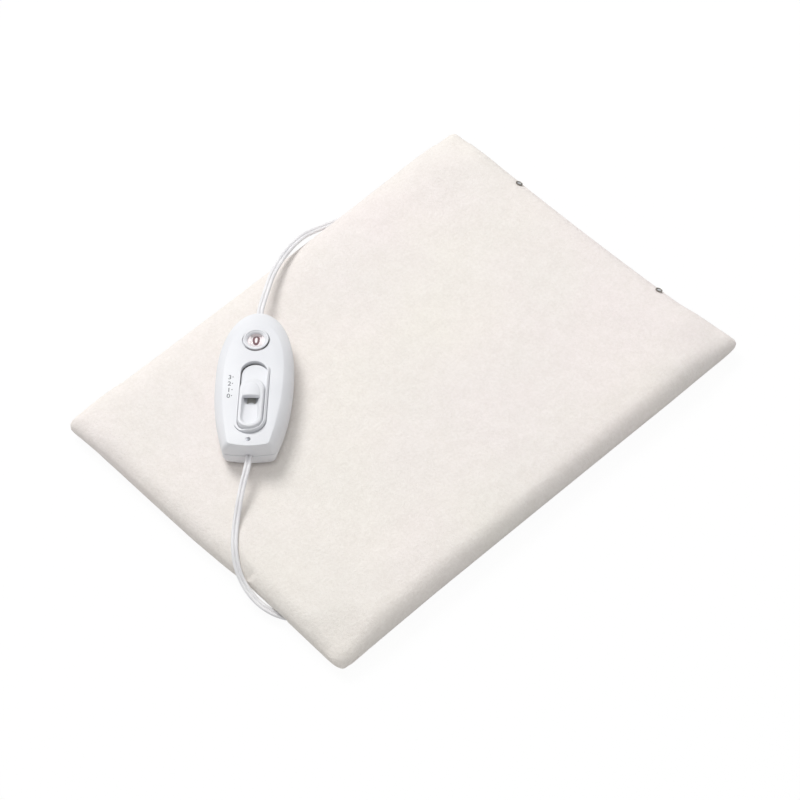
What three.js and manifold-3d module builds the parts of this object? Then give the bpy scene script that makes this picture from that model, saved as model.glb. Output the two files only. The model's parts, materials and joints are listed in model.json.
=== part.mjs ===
// Heating pad with a hand controller on its lead, in millimetres, +Z up.
// The origin is on the floor under the middle of the pad, and +X runs along its long side.
import * as THREE from "three";
import { mergeVertices } from "three/addons/utils/BufferGeometryUtils.js";
import Module from "manifold-3d";

const wasm = await Module();
wasm.setup();

// Clearances
const GAP = 0.3;
const LOOSE = 0.4;
const CUT_OVER = 10;

// Pad outline and section
const PAD_LENGTH = 400;
const PAD_WIDTH = 300;
const PAD_CORNER = 13;
const INNER_CORNER = 2;
const SHORT_SIDE_DRAW = 3;
const LONG_SIDE_DRAW = 1.6;
const DRAW_FADE = 60;
const SEAM_HEIGHT = 9;
const PAD_CROWN = 26;
const CROWN_INSET = 40;
const CROWN_POWER = 2.6;
const CLOTH = 1.2;
const UNDER_ROLL = 22;
const RIM_WIDTH = 18;
const HOLLOW_RAMP = 40;

// Mains lead, its coil and its tie, which lie in the hollow under the pad
const LEAD_WIDTH = 5.2;
const LEAD_THICKNESS = 3.3;
const LEAD_SIDES = 8;
const COIL_X = 62;
const COIL_Y = 25;
const COIL_RADIUS = 36.3;
const COIL_PITCH = 3.9;
const COIL_LAYER = 5.8;
const COIL_TURNS = 8;
const COIL_STEPS = 24;
const COIL_SIDES = 6;
const TIE_THICKNESS = 1.2;
const TIE_WIDTH = 8;
const HOLLOW_SPARE = 0.6;

// Raised edge under which the mains lead passes
const GATE_X = 112;
const GATE_HALF = 24;
const GATE_FALL = 20;
const GATE_HEIGHT = 4.4;

// Filling and heating wire
const WADDING_FLOOR = 1.2;
const WADDING_SHOULDER = 9;
const WADDING_SIDE = [[0, 3], [2.5, 8]];
const CARRIER_INSET = 30;
const CARRIER_THICKNESS = 0.8;
const TRAY_LEDGE = 1;
const WIRE_DIAMETER = 2;
const WIRE_SIDES = 5;
const WIRE_RUNS = 12;
const WIRE_SIDE_MARGIN = 12;
const WIRE_RUN_MARGIN = 20;
const WIRE_START = [[4, -2], [7, -1.5], [11, 0]];
const WIRE_RETURN = [[10, 12], [7, 5], [3, 3]];
const WIRE_FIRST_BEND = [8, 2];
const WIRE_LAST_BEND = [8, 1];
const WIRE_COLUMN_MARGIN = 5.5;
const WIRE_COLUMN_BEND = [[1.5, 6], [0, 13]];
const WIRE_COLUMN_END = 21;
const WIRE_DIP = 0.3;
const CUTOUT_SPACING = 160;
const CUTOUT_LENGTH = 14;
const CUTOUT_WIDTH = 5;
const CUTOUT_HEIGHT = 1.8;

// Junction of lead and wire, near a corner of the pad
const JUNCTION_LENGTH = 20;
const JUNCTION_WIDTH = 12;
const JUNCTION_HEIGHT = 7;
const JUNCTION_INSET = 24;
const JUNCTION_SIDE = 34;
const JUNCTION_BASE = 8;
const GROMMET_LENGTH = 17;
const GROMMET_RADIUS = 4.4;
const GROMMET_INNER_RADIUS = 4.9;
const GROMMET_BORE = 3.1;
const TUNNEL_REACH = 8;
const GROMMET_START = new THREE.Vector3(4.7, 57.6, 6.5);
const GROMMET_HEADING = new THREE.Vector3(0.637, -0.757, 0.142).normalize();

// Opening of the cover and its press studs, on the +X side
const FLAP_DEPTH = 4.6;
const FLAP_LENGTH = 210;
const FLAP_REACH = 16;
const SNAP_INSET = 5.5;
const SNAP_SPACING = 148;
const SNAP_SHIFT = -4;
const SNAP_RING_RADIUS = 3.7;
const SNAP_RING_BORE = 2.1;
const SNAP_RING_THICKNESS = 1.1;
const SNAP_SOCKET_RADIUS = 3.4;
const SNAP_SOCKET_THICKNESS = 1.3;
const SNAP_SAG = 0.35;
const SNAP_POST_RADIUS = 1.4;
const SNAP_RIVET_RADIUS = 1;
const SNAP_FLANGE_RADIUS = 3.2;
const SNAP_FLANGE_THICKNESS = 0.7;
const SNAP_BACK_THICKNESS = 0.8;

// Controller case
const CONTROLLER_X = -87.6;
const CONTROLLER_Y = 60.8;
const CONTROLLER_TURN = 43.7;
const CASE_HEIGHT = 24.5;
const PARTING = 12;
const WALL = 2;
const ROUND_POWER = 2.4;
const TAPER_POWER = 2.2;
const END_CORNER = 4;
const END_BOW = 1.4;
const CASE_FRONT = 64.5;
const CASE_REAR = 64.5;
const CASE_HALF = 28.7;
const CASE_END = 20;
const TOP_FRONT = 49;
const TOP_REAR = 63.8;
const TOP_HALF = 22;
const TOP_END = 15.6;
const BASE_FRONT = 58;
const BASE_REAR = 61;
const BASE_HALF = 24.5;
const BASE_END = 16.8;
const FLANK = [[0, 0], [0.08, 0.36], [0.5, 0.74], [0.9, 0.96], [1, 1]];
const BELLY = [[0, 0], [0.06, 0.42], [0.32, 0.78], [0.7, 0.96], [1, 1]];

// Number drum behind the window, and the rack that turns it
const WINDOW_U = 32.4;
const DRUM_RADIUS = 9.5;
const DRUM_WIDTH = 8.6;
const DRUM_RISE = 0.5;
const DRUM_TURN = 270;
const AXLE_RADIUS = 1.2;
const HUB_RADIUS = 2.2;
const TEETH = 12;
const TOOTH_MODULE = 0.6;
const TOOTH_RISE = 0.45;
const TOOTH_DROP = 0.75;
const TOOTH_THICKNESS = 0.72;
const TOOTH_SLOPE = 0.32;
const RACK_TEETH = 12;
const RACK_BACK = 1.5;
const RACK_WIDTH = 3;
const RACK_V = 11;
const POST_THICKNESS = 1.8;
const POST_WIDTH = 5;
const BEZEL_RADIUS = 9.45;
const BEZEL_BORE = 6.4;
const BEZEL_RISE = 1.5;
const BEZEL_CHAMFER = 0.7;
const BEZEL_SEAT = 1.2;
const LENS_THICKNESS = 1.2;
const WINDOW_HOLE = 5.6;

// Slider
const SLOT_CENTRE = -20.25;
const SLOT_WIDTH = 23.5;
const SLOT_DEPTH = 2.5;
const SLAB_THICKNESS = 1.6;
const SLAB_EDGE = 1.7;
const KNOB_LENGTH = 48.8;
const KNOB_WIDTH = 22.7;
const KNOB_RISE = 2.8;
const KNOB_FLANK = 1.5;
const KNOB_CORNER = 0.4;
const KNOB_CHANNEL_WIDTH = 14;
const KNOB_CHANNEL_DEPTH = 2.7;
const KNOB_CHANNEL_END = 5.2;
const KNOB_STEP = 8.7;
const KNOB_DOME_LENGTH = 14;
const KNOB_DOME_RISE = 1.5;
const STEM_LENGTH = 10;
const STEM_WIDTH = 5.6;
const CARRIAGE_REAR = 17.3;
const CARRIAGE_FRONT = 20.7;
const CARRIAGE_SIDE = 9;
const CARRIAGE_THICKNESS = 2.5;
const ARM_LENGTH = 6;
const DETENT_U = -25;
const DETENT_STEPS = 3;
const DETENT_DEPTH = 1.2;
const DETENT_HALF = 1.6;
const SPRING_THICKNESS = 0.4;
const SPRING_FREE = 21;
const SPRING_FIXED = 15;
const SPRING_STANDOFF = 2;
const LUG_LENGTH = 4;

// Circuit board and what stands on it
const BOARD_REAR = 42;
const BOARD_FRONT = 20;
const BOARD_HALF = 17;
const BOARD_THICKNESS = 1.6;
const BOARD_CLEAR = 1.35;
const BOARD_POST_RADIUS = 2.2;
const BOARD_POST_INSET = 5;
const RAIL_HEIGHT = 0.9;
const RAIL_HALF = 4;
const BRIDGE_LENGTH = 6;
const BRIDGE_HALF = 3;
const BRIDGE_STRIP = 0.6;
const TERMINAL_LENGTH = 8;
const TERMINAL_HALF = 7;
const TERMINAL_HEIGHT = 7;
const TERMINAL_INSET = 1;
const TERMINAL_SCREW = 1.6;
const FUSE_RADIUS = 2.6;
const FUSE_LENGTH = 20;
const FUSE_U = -2;
const FUSE_V = -12;
const DIODE_RADIUS = 1.5;
const DIODE_LENGTH = 8;
const DIODE_U = -26;
const DIODE_V = 7;

// Cord clamps and case screws
const CORD_HOLE_CLEAR = 0.4;
const CLAMP_REAR_U = -58;
const CLAMP_FRONT_U = 50;
const CLAMP_LENGTH = 6;
const CLAMP_HALF = 9;
const CLAMP_THICKNESS = 3;
const CLAMP_POST = 4;
const SCREW_RADIUS = 1.1;
const SCREW_HEAD_RADIUS = 1.8;
const SCREW_HEAD = 1;
const SCREW_SEAT = 1.2;
const REAR_SCREW_U = 45;
const REAR_SCREW_V = -14;
const BOSS_RADIUS = 3.2;
const BOSS_TOP = 17.5;
const REAR_SCREW_LENGTH = 13;

// Plug
const PLUG_X = 34;
const PLUG_Y = -36;
const PLUG_LENGTH = 36;
const PLUG_WIDTH = 35.3;
const PLUG_THICKNESS = 13.7;
const PLUG_BACK_WIDTH = 13;
const PLUG_FRONT_LENGTH = 9;
const PLUG_ROUND = 1.5;
const PIN_RADIUS = 2;
const PIN_LENGTH = 19;
const PIN_ROOT = 6;
const PIN_SPACING = 18.6;
const BOOT_LENGTH = 28;
const BOOT_BIG_RADIUS = 4.6;
const BOOT_SMALL_RADIUS = 3.4;

// Route of the pad lead, from inside the controller's flat end to the junction
const PAD_LEAD_ROUTE = [
  [-120.9, 29.0, 38.3], [-127.5, 22.6, 38.3], [-134.2, 16.2, 38.3], [-139.4, 11.7, 38.2],
  [-145.2, 7.5, 37.6], [-152.2, 2.9, 36.1], [-159.9, -2.4, 33.6], [-168.4, -8.6, 30.3],
  [-177.3, -15.6, 27.3], [-185.9, -23.5, 25.2], [-193.4, -32.0, 22.2], [-198.2, -39.5, 18.2],
  [-201.0, -46.2, 14.6], [-202.7, -53.2, 11.5], [-203.6, -60.5, 9.2], [-203.7, -67.0, 7.8],
  [-203.0, -73.3, 6.9], [-201.6, -79.3, 6.3], [-199.5, -85.2, 6.1], [-196.3, -91.2, 6.3],
  [-191.6, -96.8, 7.3], [-187.0, -102.3, 8.3], [-182.4, -107.7, 9.4],
];

// Route of the mains lead, from inside the controller's round end to the coil
const MAINS_LEAD_ROUTE = [
  [-55.8, 91.2, 38.3], [-48.4, 98.3, 38.3], [-41.0, 105.4, 38.3], [-36.3, 109.5, 38.3],
  [-31.0, 113.3, 38.0], [-25.3, 117.2, 37.4], [-19.5, 121.2, 36.5], [-8.0, 129.0, 34.3],
  [4.3, 135.8, 31.4], [16.5, 141.5, 28.0], [30.5, 146.9, 23.7], [44.2, 150.6, 18.4],
  [57.0, 152.4, 12.2], [69.5, 152.4, 7.0], [83.0, 150.8, 3.4], [97.0, 147.3, 2.1],
  [110.0, 142.0, 1.95], [120.0, 133.5, 1.95], [125.5, 122.0, 1.95], [126.3, 108.0, 2.0],
  [122.5, 92.0, 2.2], [115.5, 76.0, 2.6], [107.5, 60.0, 3.2], [101.0, 45.0, 3.8],
  [98.6, 36.5, 4.1], [98.3, 30.5, 4.1],
];

// Route of the mains lead from the coil to the plug
const MAINS_TAIL_ROUTE = [
  [98.3, 19.5, 9.9], [98.0, 12.0, 9.7], [96.8, 2.0, 9.1], [93.2, -9.0, 8.3],
  [87.0, -19.5, 7.5], [78.4, -29.0, 7.05], [70.4, -34.6, 6.9], [62.3, -36.0, 6.85],
];

// Finishes
const finish = (color, roughness, metalness) => ({ color, roughness, metalness });
const FLEECE = finish(0xf7f1ec, 0.95, 0);
const WADDING = finish(0xf2f0ea, 1, 0);
const CASE_WHITE = finish(0xeeecea, 0.45, 0);
const INNER_PLASTIC = finish(0xd8d8d2, 0.5, 0);
const CORD_WHITE = finish(0xe6e4e2, 0.5, 0);
const DARK_METAL = finish(0x5a5550, 0.35, 0.9);
const STEEL = finish(0xb9bcc0, 0.3, 1);
const BRASS = finish(0xc7a24c, 0.35, 1);
const CLEAR = finish(0xf4eef0, 0.05, 0);
const BOARD = finish(0xb98a4a, 0.7, 0);
const BLACK = finish(0x2a2a2a, 0.5, 0);
const WIRE_SHEATH = finish(0xcfd6dc, 0.5, 0);

// Shared building steps
const part = new THREE.Group();
const controller = new THREE.Group();
controller.position.set(CONTROLLER_X, CONTROLLER_Y, PAD_CROWN + GAP);
controller.rotation.z = THREE.MathUtils.degToRad(CONTROLLER_TURN);
part.add(controller);

function addMesh(name, geometry, look, group = part) {
  const mesh = new THREE.Mesh(geometry, new THREE.MeshStandardMaterial(look));
  mesh.name = name;
  group.add(mesh);
}

function welded(geometry) {
  const bare = geometry.clone();
  bare.deleteAttribute("normal");
  bare.deleteAttribute("uv");
  return mergeVertices(bare, 1e-4);
}

function solid(geometry) {
  const bare = welded(geometry);
  const vertProperties = new Float32Array(bare.attributes.position.array);
  const triVerts = new Uint32Array(bare.index.array);
  return new wasm.Manifold(new wasm.Mesh({ numProp: 3, vertProperties, triVerts }));
}

function geometryOf(body) {
  const mesh = body.getMesh();
  const geometry = new THREE.BufferGeometry();
  geometry.setAttribute("position", new THREE.BufferAttribute(mesh.vertProperties, 3));
  geometry.setIndex(new THREE.BufferAttribute(mesh.triVerts, 1));
  return geometry;
}

function cut(body, ...tools) {
  return tools.reduce((left, tool) => left.subtract(tool), body);
}

function join(body, ...others) {
  return others.reduce((sum, other) => sum.add(other), body);
}

const clamp = (t) => Math.min(1, Math.max(0, t));
const smooth = (t) => clamp(t) ** 2 * (3 - 2 * clamp(t));

// Closed body through rings with equal numbers of points, capped at both ends.
// Each four-sided patch is split along its lower diagonal, so that layers on each other stay parallel.
function loft(rings, flat = (p) => new THREE.Vector2(p.x, p.y)) {
  const count = rings[0].length;
  const points = rings.flat();
  const faces = [];
  for (let r = 0; r < rings.length - 1; r++) {
    for (let i = 0; i < count; i++) {
      const a = r * count + i;
      const b = r * count + ((i + 1) % count);
      const c = b + count;
      const d = a + count;
      const alongLow = points[a].z + points[c].z < points[b].z + points[d].z;
      faces.push(...(alongLow ? [[a, b, c], [a, c, d]] : [[a, b, d], [b, c, d]]));
    }
  }
  const cap = (ring, start, turn) => {
    const outline = ring.map(flat);
    const over = THREE.ShapeUtils.isClockWise(outline) ? !turn : turn;
    for (const [a, b, c] of THREE.ShapeUtils.triangulateShape(outline, [])) {
      faces.push(over ? [start + a, start + c, start + b] : [start + a, start + b, start + c]);
    }
  };
  const clockwise = THREE.ShapeUtils.isClockWise(rings[0].map(flat));
  cap(rings[0], 0, !clockwise);
  cap(rings.at(-1), (rings.length - 1) * count, clockwise);
  const wedge = ([a, b, c]) => points[a].dot(points[b].clone().cross(points[c]));
  const volume = faces.reduce((sum, face) => sum + wedge(face), 0);
  const index = volume < 0 ? faces.map(([a, b, c]) => [a, c, b]) : faces;
  const geometry = new THREE.BufferGeometry().setFromPoints(points);
  geometry.setIndex(index.flat());
  return geometry;
}

function box(x0, x1, y0, y1, z0, z1) {
  const geometry = new THREE.BoxGeometry(x1 - x0, y1 - y0, z1 - z0);
  return geometry.translate((x0 + x1) / 2, (y0 + y1) / 2, (z0 + z1) / 2);
}

function upright(radius, x, y, z0, z1, sides = 20) {
  const geometry = new THREE.CylinderGeometry(radius, radius, z1 - z0, sides);
  return geometry.rotateX(Math.PI / 2).translate(x, y, (z0 + z1) / 2);
}

function crosswise(radius, x, z, y0, y1, sides = 24) {
  const geometry = new THREE.CylinderGeometry(radius, radius, y1 - y0, sides);
  return geometry.translate(x, (y0 + y1) / 2, z);
}

function lengthwise(radius, y, z, x0, x1, sides = 12) {
  const geometry = new THREE.CylinderGeometry(radius, radius, x1 - x0, sides);
  return geometry.rotateZ(Math.PI / 2).translate((x0 + x1) / 2, y, z);
}

function prism(shape, z0, z1, curveSegments = 8) {
  const geometry = new THREE.ExtrudeGeometry(shape, { depth: z1 - z0, bevelEnabled: false, curveSegments });
  return geometry.translate(0, 0, z0);
}

function outlineShape(points) {
  return new THREE.Shape(points.map(([x, y]) => new THREE.Vector2(x, y)));
}

function obround(centre, length, width) {
  const reach = (length - width) / 2;
  const shape = new THREE.Shape();
  shape.absarc(centre + reach, 0, width / 2, -Math.PI / 2, Math.PI / 2);
  shape.absarc(centre - reach, 0, width / 2, Math.PI / 2, Math.PI * 1.5);
  return shape;
}

function obroundRing(centre, length, width, height, arcSteps = 10) {
  const reach = (length - width) / 2;
  const points = [];
  for (const side of [1, -1]) {
    for (let i = 0; i <= arcSteps; i++) {
      const angle = (i / arcSteps - 0.5) * Math.PI + (side < 0 ? Math.PI : 0);
      const x = centre + side * reach + (width / 2) * Math.cos(angle);
      points.push(new THREE.Vector3(x, (width / 2) * Math.sin(angle), height));
    }
  }
  return points;
}

// Curve that keeps its points where they are given
class Route extends THREE.Curve {
  constructor(points) {
    super();
    this.points = points;
  }

  getPoint(t, target = new THREE.Vector3()) {
    const place = clamp(t) * (this.points.length - 1);
    const start = Math.min(Math.floor(place), this.points.length - 2);
    return target.lerpVectors(this.points[start], this.points[start + 1], place - start);
  }

  getPointAt(t, target) {
    return this.getPoint(t, target);
  }

  getTangentAt(t, target = new THREE.Vector3()) {
    const last = this.points.length - 1;
    const place = Math.round(clamp(t) * last);
    const before = this.points[Math.max(place - 1, 0)];
    const here = this.points[place];
    const after = this.points[Math.min(place + 1, last)];
    const ahead = after.clone().sub(here).normalize();
    return target.copy(here).sub(before).normalize().add(ahead).normalize();
  }
}

// Tube on given points; high lies along Z and wide across the route while the route is level
function tube(points, high, wide, sides) {
  const outline = [];
  for (let i = 0; i < sides; i++) {
    const angle = ((i + 0.5) / sides) * Math.PI * 2;
    outline.push(new THREE.Vector2((high / 2) * Math.cos(angle), (wide / 2) * Math.sin(angle)));
  }
  const shape = new THREE.Shape(outline);
  const extrudePath = new Route(points);
  return new THREE.ExtrudeGeometry(shape, { steps: points.length - 1, extrudePath });
}

function freeLead(route, steps) {
  const curve = new THREE.CatmullRomCurve3(route.map((p) => new THREE.Vector3(...p)), false, "centripetal");
  return tube(curve.getSpacedPoints(steps), LEAD_THICKNESS, LEAD_WIDTH, LEAD_SIDES);
}

// Solid of revolution about an axis through a place; the profile holds radius and height along the axis
function turned(profile, place, axis, sides = 10) {
  const points = profile.map(([r, h]) => new THREE.Vector2(r, h));
  const geometry = new THREE.LatheGeometry(points, sides);
  const turn = new THREE.Quaternion().setFromUnitVectors(new THREE.Vector3(0, 1, 0), axis);
  return geometry.applyQuaternion(turn).translate(place.x, place.y, place.z);
}

function washer(inner, outer, h0, h1, place, axis, sides) {
  return turned([[inner, h0], [outer, h0], [outer, h1], [inner, h1], [inner, h0]], place, axis, sides);
}

// Pad section: heights over the inset from the outline
const HOLLOW_INSET = UNDER_ROLL + RIM_WIDTH + HOLLOW_RAMP;
const COIL_BASE = TIE_THICKNESS + GAP;
const COIL_TOP = COIL_BASE + COIL_LAYER + LEAD_WIDTH;
const HOLLOW_HEIGHT = COIL_TOP + GAP + TIE_THICKNESS + HOLLOW_SPARE;
const TRAY_FLOOR = HOLLOW_HEIGHT + CLOTH + GAP + WADDING_FLOOR;
const CARRIER_BASE = TRAY_FLOOR + GAP;
const WIRE_LEVEL = CARRIER_BASE + CARRIER_THICKNESS + GAP + WIRE_DIAMETER / 2;
const UPPER_WADDING_BASE = WIRE_LEVEL + WIRE_DIAMETER / 2 + GAP;

function topHeight(inset) {
  const rest = Math.max(0, 1 - inset / CROWN_INSET);
  return SEAM_HEIGHT + (PAD_CROWN - SEAM_HEIGHT) * (1 - rest ** CROWN_POWER) ** (1 / CROWN_POWER);
}

function underHeight(inset) {
  if (inset < UNDER_ROLL) {
    return SEAM_HEIGHT * (1 - Math.sqrt(1 - (1 - inset / UNDER_ROLL) ** 2));
  }
  return HOLLOW_HEIGHT * smooth((inset - UNDER_ROLL - RIM_WIDTH) / HOLLOW_RAMP);
}

function gateHeight(x, y) {
  const along = 1 - smooth((Math.abs(x - GATE_X) - GATE_HALF) / GATE_FALL);
  const inward = smooth((y - PAD_WIDTH / 2 + HOLLOW_INSET) / GATE_FALL);
  return GATE_HEIGHT * along * inward;
}

function slopeOf(profile, inset) {
  const step = 0.02;
  return (profile(inset + step) - profile(inset)) / step;
}

function insideTop(inset, depth) {
  const slope = slopeOf(topHeight, inset);
  const size = Math.hypot(1, slope);
  return [inset + (depth * slope) / size, topHeight(inset) - depth / size];
}

function insideUnder(inset, depth) {
  const slope = slopeOf(underHeight, inset);
  const size = Math.hypot(1, slope);
  return [inset - (depth * slope) / size, underHeight(inset) + depth / size];
}

// Pad outline at an inset: straight sides that draw in a little, and round corners
const LONG_MARKS = [-0.8, -0.6, -0.38, -0.16, 0.06, 0.27, 0.4, 0.51, 0.61, 0.71, 0.81, 0.91];
const SHORT_MARKS = [-0.75, -0.5, -0.25, 0, 0.25, 0.5, 0.75];
const CORNER_STEPS = 4;

const fadeOf = (inset) => Math.max(0, 1 - inset / DRAW_FADE);
const sideBow = (draw, mark) => draw * (1 - mark ** 2);
const shortBowAt = (y) => sideBow(SHORT_SIDE_DRAW, y / (PAD_WIDTH / 2 - PAD_CORNER));

function padRing(inset, heightAt) {
  const radius = Math.max(PAD_CORNER - inset, INNER_CORNER);
  const halfX = PAD_LENGTH / 2 - inset;
  const halfY = PAD_WIDTH / 2 - inset;
  const straightX = halfX - radius;
  const straightY = halfY - radius;
  const plan = [];
  for (const turn of [1, -1]) {
    for (const mark of SHORT_MARKS) {
      const bow = sideBow(SHORT_SIDE_DRAW, mark) * fadeOf(inset);
      plan.push([turn * (halfX - bow), turn * mark * straightY]);
    }
    for (let i = 0; i <= CORNER_STEPS; i++) {
      const angle = (i / CORNER_STEPS) * (Math.PI / 2);
      const x = straightX + radius * Math.cos(angle);
      const y = straightY + radius * Math.sin(angle);
      plan.push([turn * x, turn * y]);
    }
    for (const mark of turn > 0 ? LONG_MARKS.toReversed() : LONG_MARKS) {
      const bow = sideBow(LONG_SIDE_DRAW, mark) * fadeOf(inset);
      plan.push([mark * straightX, turn * (halfY - bow)]);
    }
    for (let i = 0; i <= CORNER_STEPS; i++) {
      const angle = Math.PI / 2 + (i / CORNER_STEPS) * (Math.PI / 2);
      const x = radius * Math.cos(angle) - straightX;
      const y = straightY + radius * Math.sin(angle);
      plan.push([turn * x, turn * y]);
    }
  }
  return plan.map(([x, y]) => new THREE.Vector3(x, y, heightAt(x, y)));
}

const topMarks = [0, 0.025, 0.09, 0.2, 0.38, 0.63, 1].map((mark) => mark * CROWN_INSET);
const rollMarks = [0, 0.08, 0.3, 0.65, 1].map((mark) => mark * UNDER_ROLL);
const rampMarks = [0, 0.35, 0.65, 1].map((mark) => UNDER_ROLL + RIM_WIDTH + mark * HOLLOW_RAMP);
const underMarks = [...rollMarks, ...rampMarks];

const levelRing = ([inset, height]) => padRing(inset, () => height);
const gatedRing = ([inset, height], depth) => {
  return padRing(inset, (x, y) => Math.max(height, gateHeight(x, y) + depth));
};

// Tunnel of the pad lead through the seam
const grommetPlace = new THREE.Vector3(-PAD_LENGTH / 2, -PAD_WIDTH / 2, 0).add(GROMMET_START);
const tunnelRadius = GROMMET_INNER_RADIUS + LOOSE;
const tunnelEnd = GROMMET_LENGTH + TUNNEL_REACH;
const tunnel = solid(turned(
  [[0, -CUT_OVER], [tunnelRadius, -CUT_OVER], [tunnelRadius, tunnelEnd], [0, tunnelEnd]],
  grommetPlace, GROMMET_HEADING, 12,
));

// Press studs: places and axes on the roll of the +X side
const snapSlope = slopeOf(topHeight, SNAP_INSET);
const snapAxis = new THREE.Vector3(snapSlope, 0, 1).normalize();
const snapPlaces = [0.5, -0.5].map((side) => {
  const y = SNAP_SHIFT + side * SNAP_SPACING;
  return new THREE.Vector3(PAD_LENGTH / 2 - shortBowAt(y) - SNAP_INSET, y, topHeight(SNAP_INSET));
});
const socketTop = -(CLOTH + SNAP_SAG + GAP);
const socketBottom = socketTop - SNAP_SOCKET_THICKNESS;
const flangeBottom = -(FLAP_DEPTH - GAP);
const flangeTop = flangeBottom + SNAP_FLANGE_THICKNESS;
const backTop = -(FLAP_DEPTH + CLOTH + SNAP_SAG + GAP);
const backBottom = backTop - SNAP_BACK_THICKNESS;
const postTop = -LOOSE;

function snapDrill(place, radius, h0, h1) {
  return solid(turned([[0, h0], [radius, h0], [radius, h1], [0, h1]], place, snapAxis));
}

function makeCovers() {
  const seamTop = SEAM_HEIGHT + GAP / 2;
  const seamUnder = SEAM_HEIGHT - GAP / 2;
  const topInner = topMarks.map((inset) => insideTop(inset, CLOTH)).reverse();
  const topOuter = topMarks.map((inset) => [inset, topHeight(inset)]);
  const topRings = [...topInner, ...topOuter].map(([inset, height]) => [inset, Math.max(height, seamTop)]);
  const drillRadius = SNAP_RING_BORE + LOOSE;
  const drills = snapPlaces.map((place) => snapDrill(place, drillRadius, GAP - FLAP_DEPTH, CUT_OVER));
  const top = cut(solid(loft(topRings.map(levelRing))), tunnel, ...drills);
  addMesh("cover_top", geometryOf(top), FLEECE);

  const belowSeam = ([inset, height]) => [inset, inset < UNDER_ROLL ? Math.min(height, seamUnder) : height];
  const underOuter = underMarks.map((inset) => belowSeam([inset, underHeight(inset)])).reverse();
  const underInner = underMarks.map((inset) => belowSeam(insideUnder(inset, CLOTH)));
  const rings = [
    ...underOuter.map((mark) => gatedRing(mark, 0)),
    ...underInner.map((mark) => gatedRing(mark, CLOTH)),
  ];
  addMesh("cover_bottom", geometryOf(cut(solid(loft(rings)), tunnel)), FLEECE);
}

function makeFlap() {
  const insets = [1 / 8, 1 / 4, 1 / 2, 1].map((mark) => mark * FLAP_REACH);
  const outer = [[CLOTH + 2 * GAP, SEAM_HEIGHT + 2 * GAP], ...insets.map((d) => insideTop(d, FLAP_DEPTH))];
  const innerStart = [2 * CLOTH + 2 * GAP, SEAM_HEIGHT + GAP];
  const inner = [innerStart, ...insets.map((d) => insideTop(d, FLAP_DEPTH + CLOTH))];
  const section = [...outer, ...inner.reverse()];
  const stations = 6;
  const rings = [];
  for (let i = 0; i <= stations; i++) {
    const y = (i / stations - 0.5) * FLAP_LENGTH;
    const edge = PAD_LENGTH / 2 - shortBowAt(y);
    rings.push(section.map(([inset, height]) => new THREE.Vector3(edge - inset, y, height)));
  }
  const strip = solid(loft(rings, (p) => new THREE.Vector2(p.x, p.z)));
  const drills = snapPlaces.map((place) => snapDrill(place, SNAP_RIVET_RADIUS + LOOSE, backBottom, 0));
  addMesh("cover_flap", geometryOf(cut(strip, ...drills)), FLEECE);
}

function makeSnaps() {
  snapPlaces.forEach((place, i) => {
    const add = (name, geometry) => addMesh(`${name}_${i + 1}`, geometry, DARK_METAL);
    const ringTop = GAP + SNAP_RING_THICKNESS;
    const rim = SNAP_RING_THICKNESS / 3;
    add("snap_ring", turned([
      [SNAP_RING_BORE, GAP], [SNAP_RING_RADIUS, GAP], [SNAP_RING_RADIUS, ringTop - rim],
      [SNAP_RING_RADIUS - rim, ringTop], [SNAP_RING_BORE + rim, ringTop], [SNAP_RING_BORE, ringTop - rim],
      [SNAP_RING_BORE, GAP],
    ], place, snapAxis));
    const socketBore = SNAP_POST_RADIUS + LOOSE;
    add("snap_socket", washer(socketBore, SNAP_SOCKET_RADIUS, socketBottom, socketTop, place, snapAxis));
    add("snap_stud", turned([
      [0, backBottom], [SNAP_RIVET_RADIUS, backBottom], [SNAP_RIVET_RADIUS, flangeBottom],
      [SNAP_FLANGE_RADIUS, flangeBottom], [SNAP_FLANGE_RADIUS, flangeTop], [SNAP_POST_RADIUS, flangeTop],
      [SNAP_POST_RADIUS, postTop - SNAP_POST_RADIUS / 2], [SNAP_POST_RADIUS / 2, postTop], [0, postTop],
    ], place, snapAxis));
    const backBore = SNAP_RIVET_RADIUS + GAP;
    add("snap_back", washer(backBore, SNAP_FLANGE_RADIUS, backBottom, backTop, place, snapAxis));
  });
}

// Junction block, in a pocket of the lower wadding that is open at the top
const junctionX = -PAD_LENGTH / 2 + JUNCTION_INSET;
const junctionY = -PAD_WIDTH / 2 + JUNCTION_SIDE;
const junctionTop = JUNCTION_BASE + JUNCTION_HEIGHT;

function junctionBox(spare, z0, z1) {
  const halfX = JUNCTION_LENGTH / 2 + spare;
  const halfY = JUNCTION_WIDTH / 2 + spare;
  return box(junctionX - halfX, junctionX + halfX, junctionY - halfY, junctionY + halfY, z0, z1);
}

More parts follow.
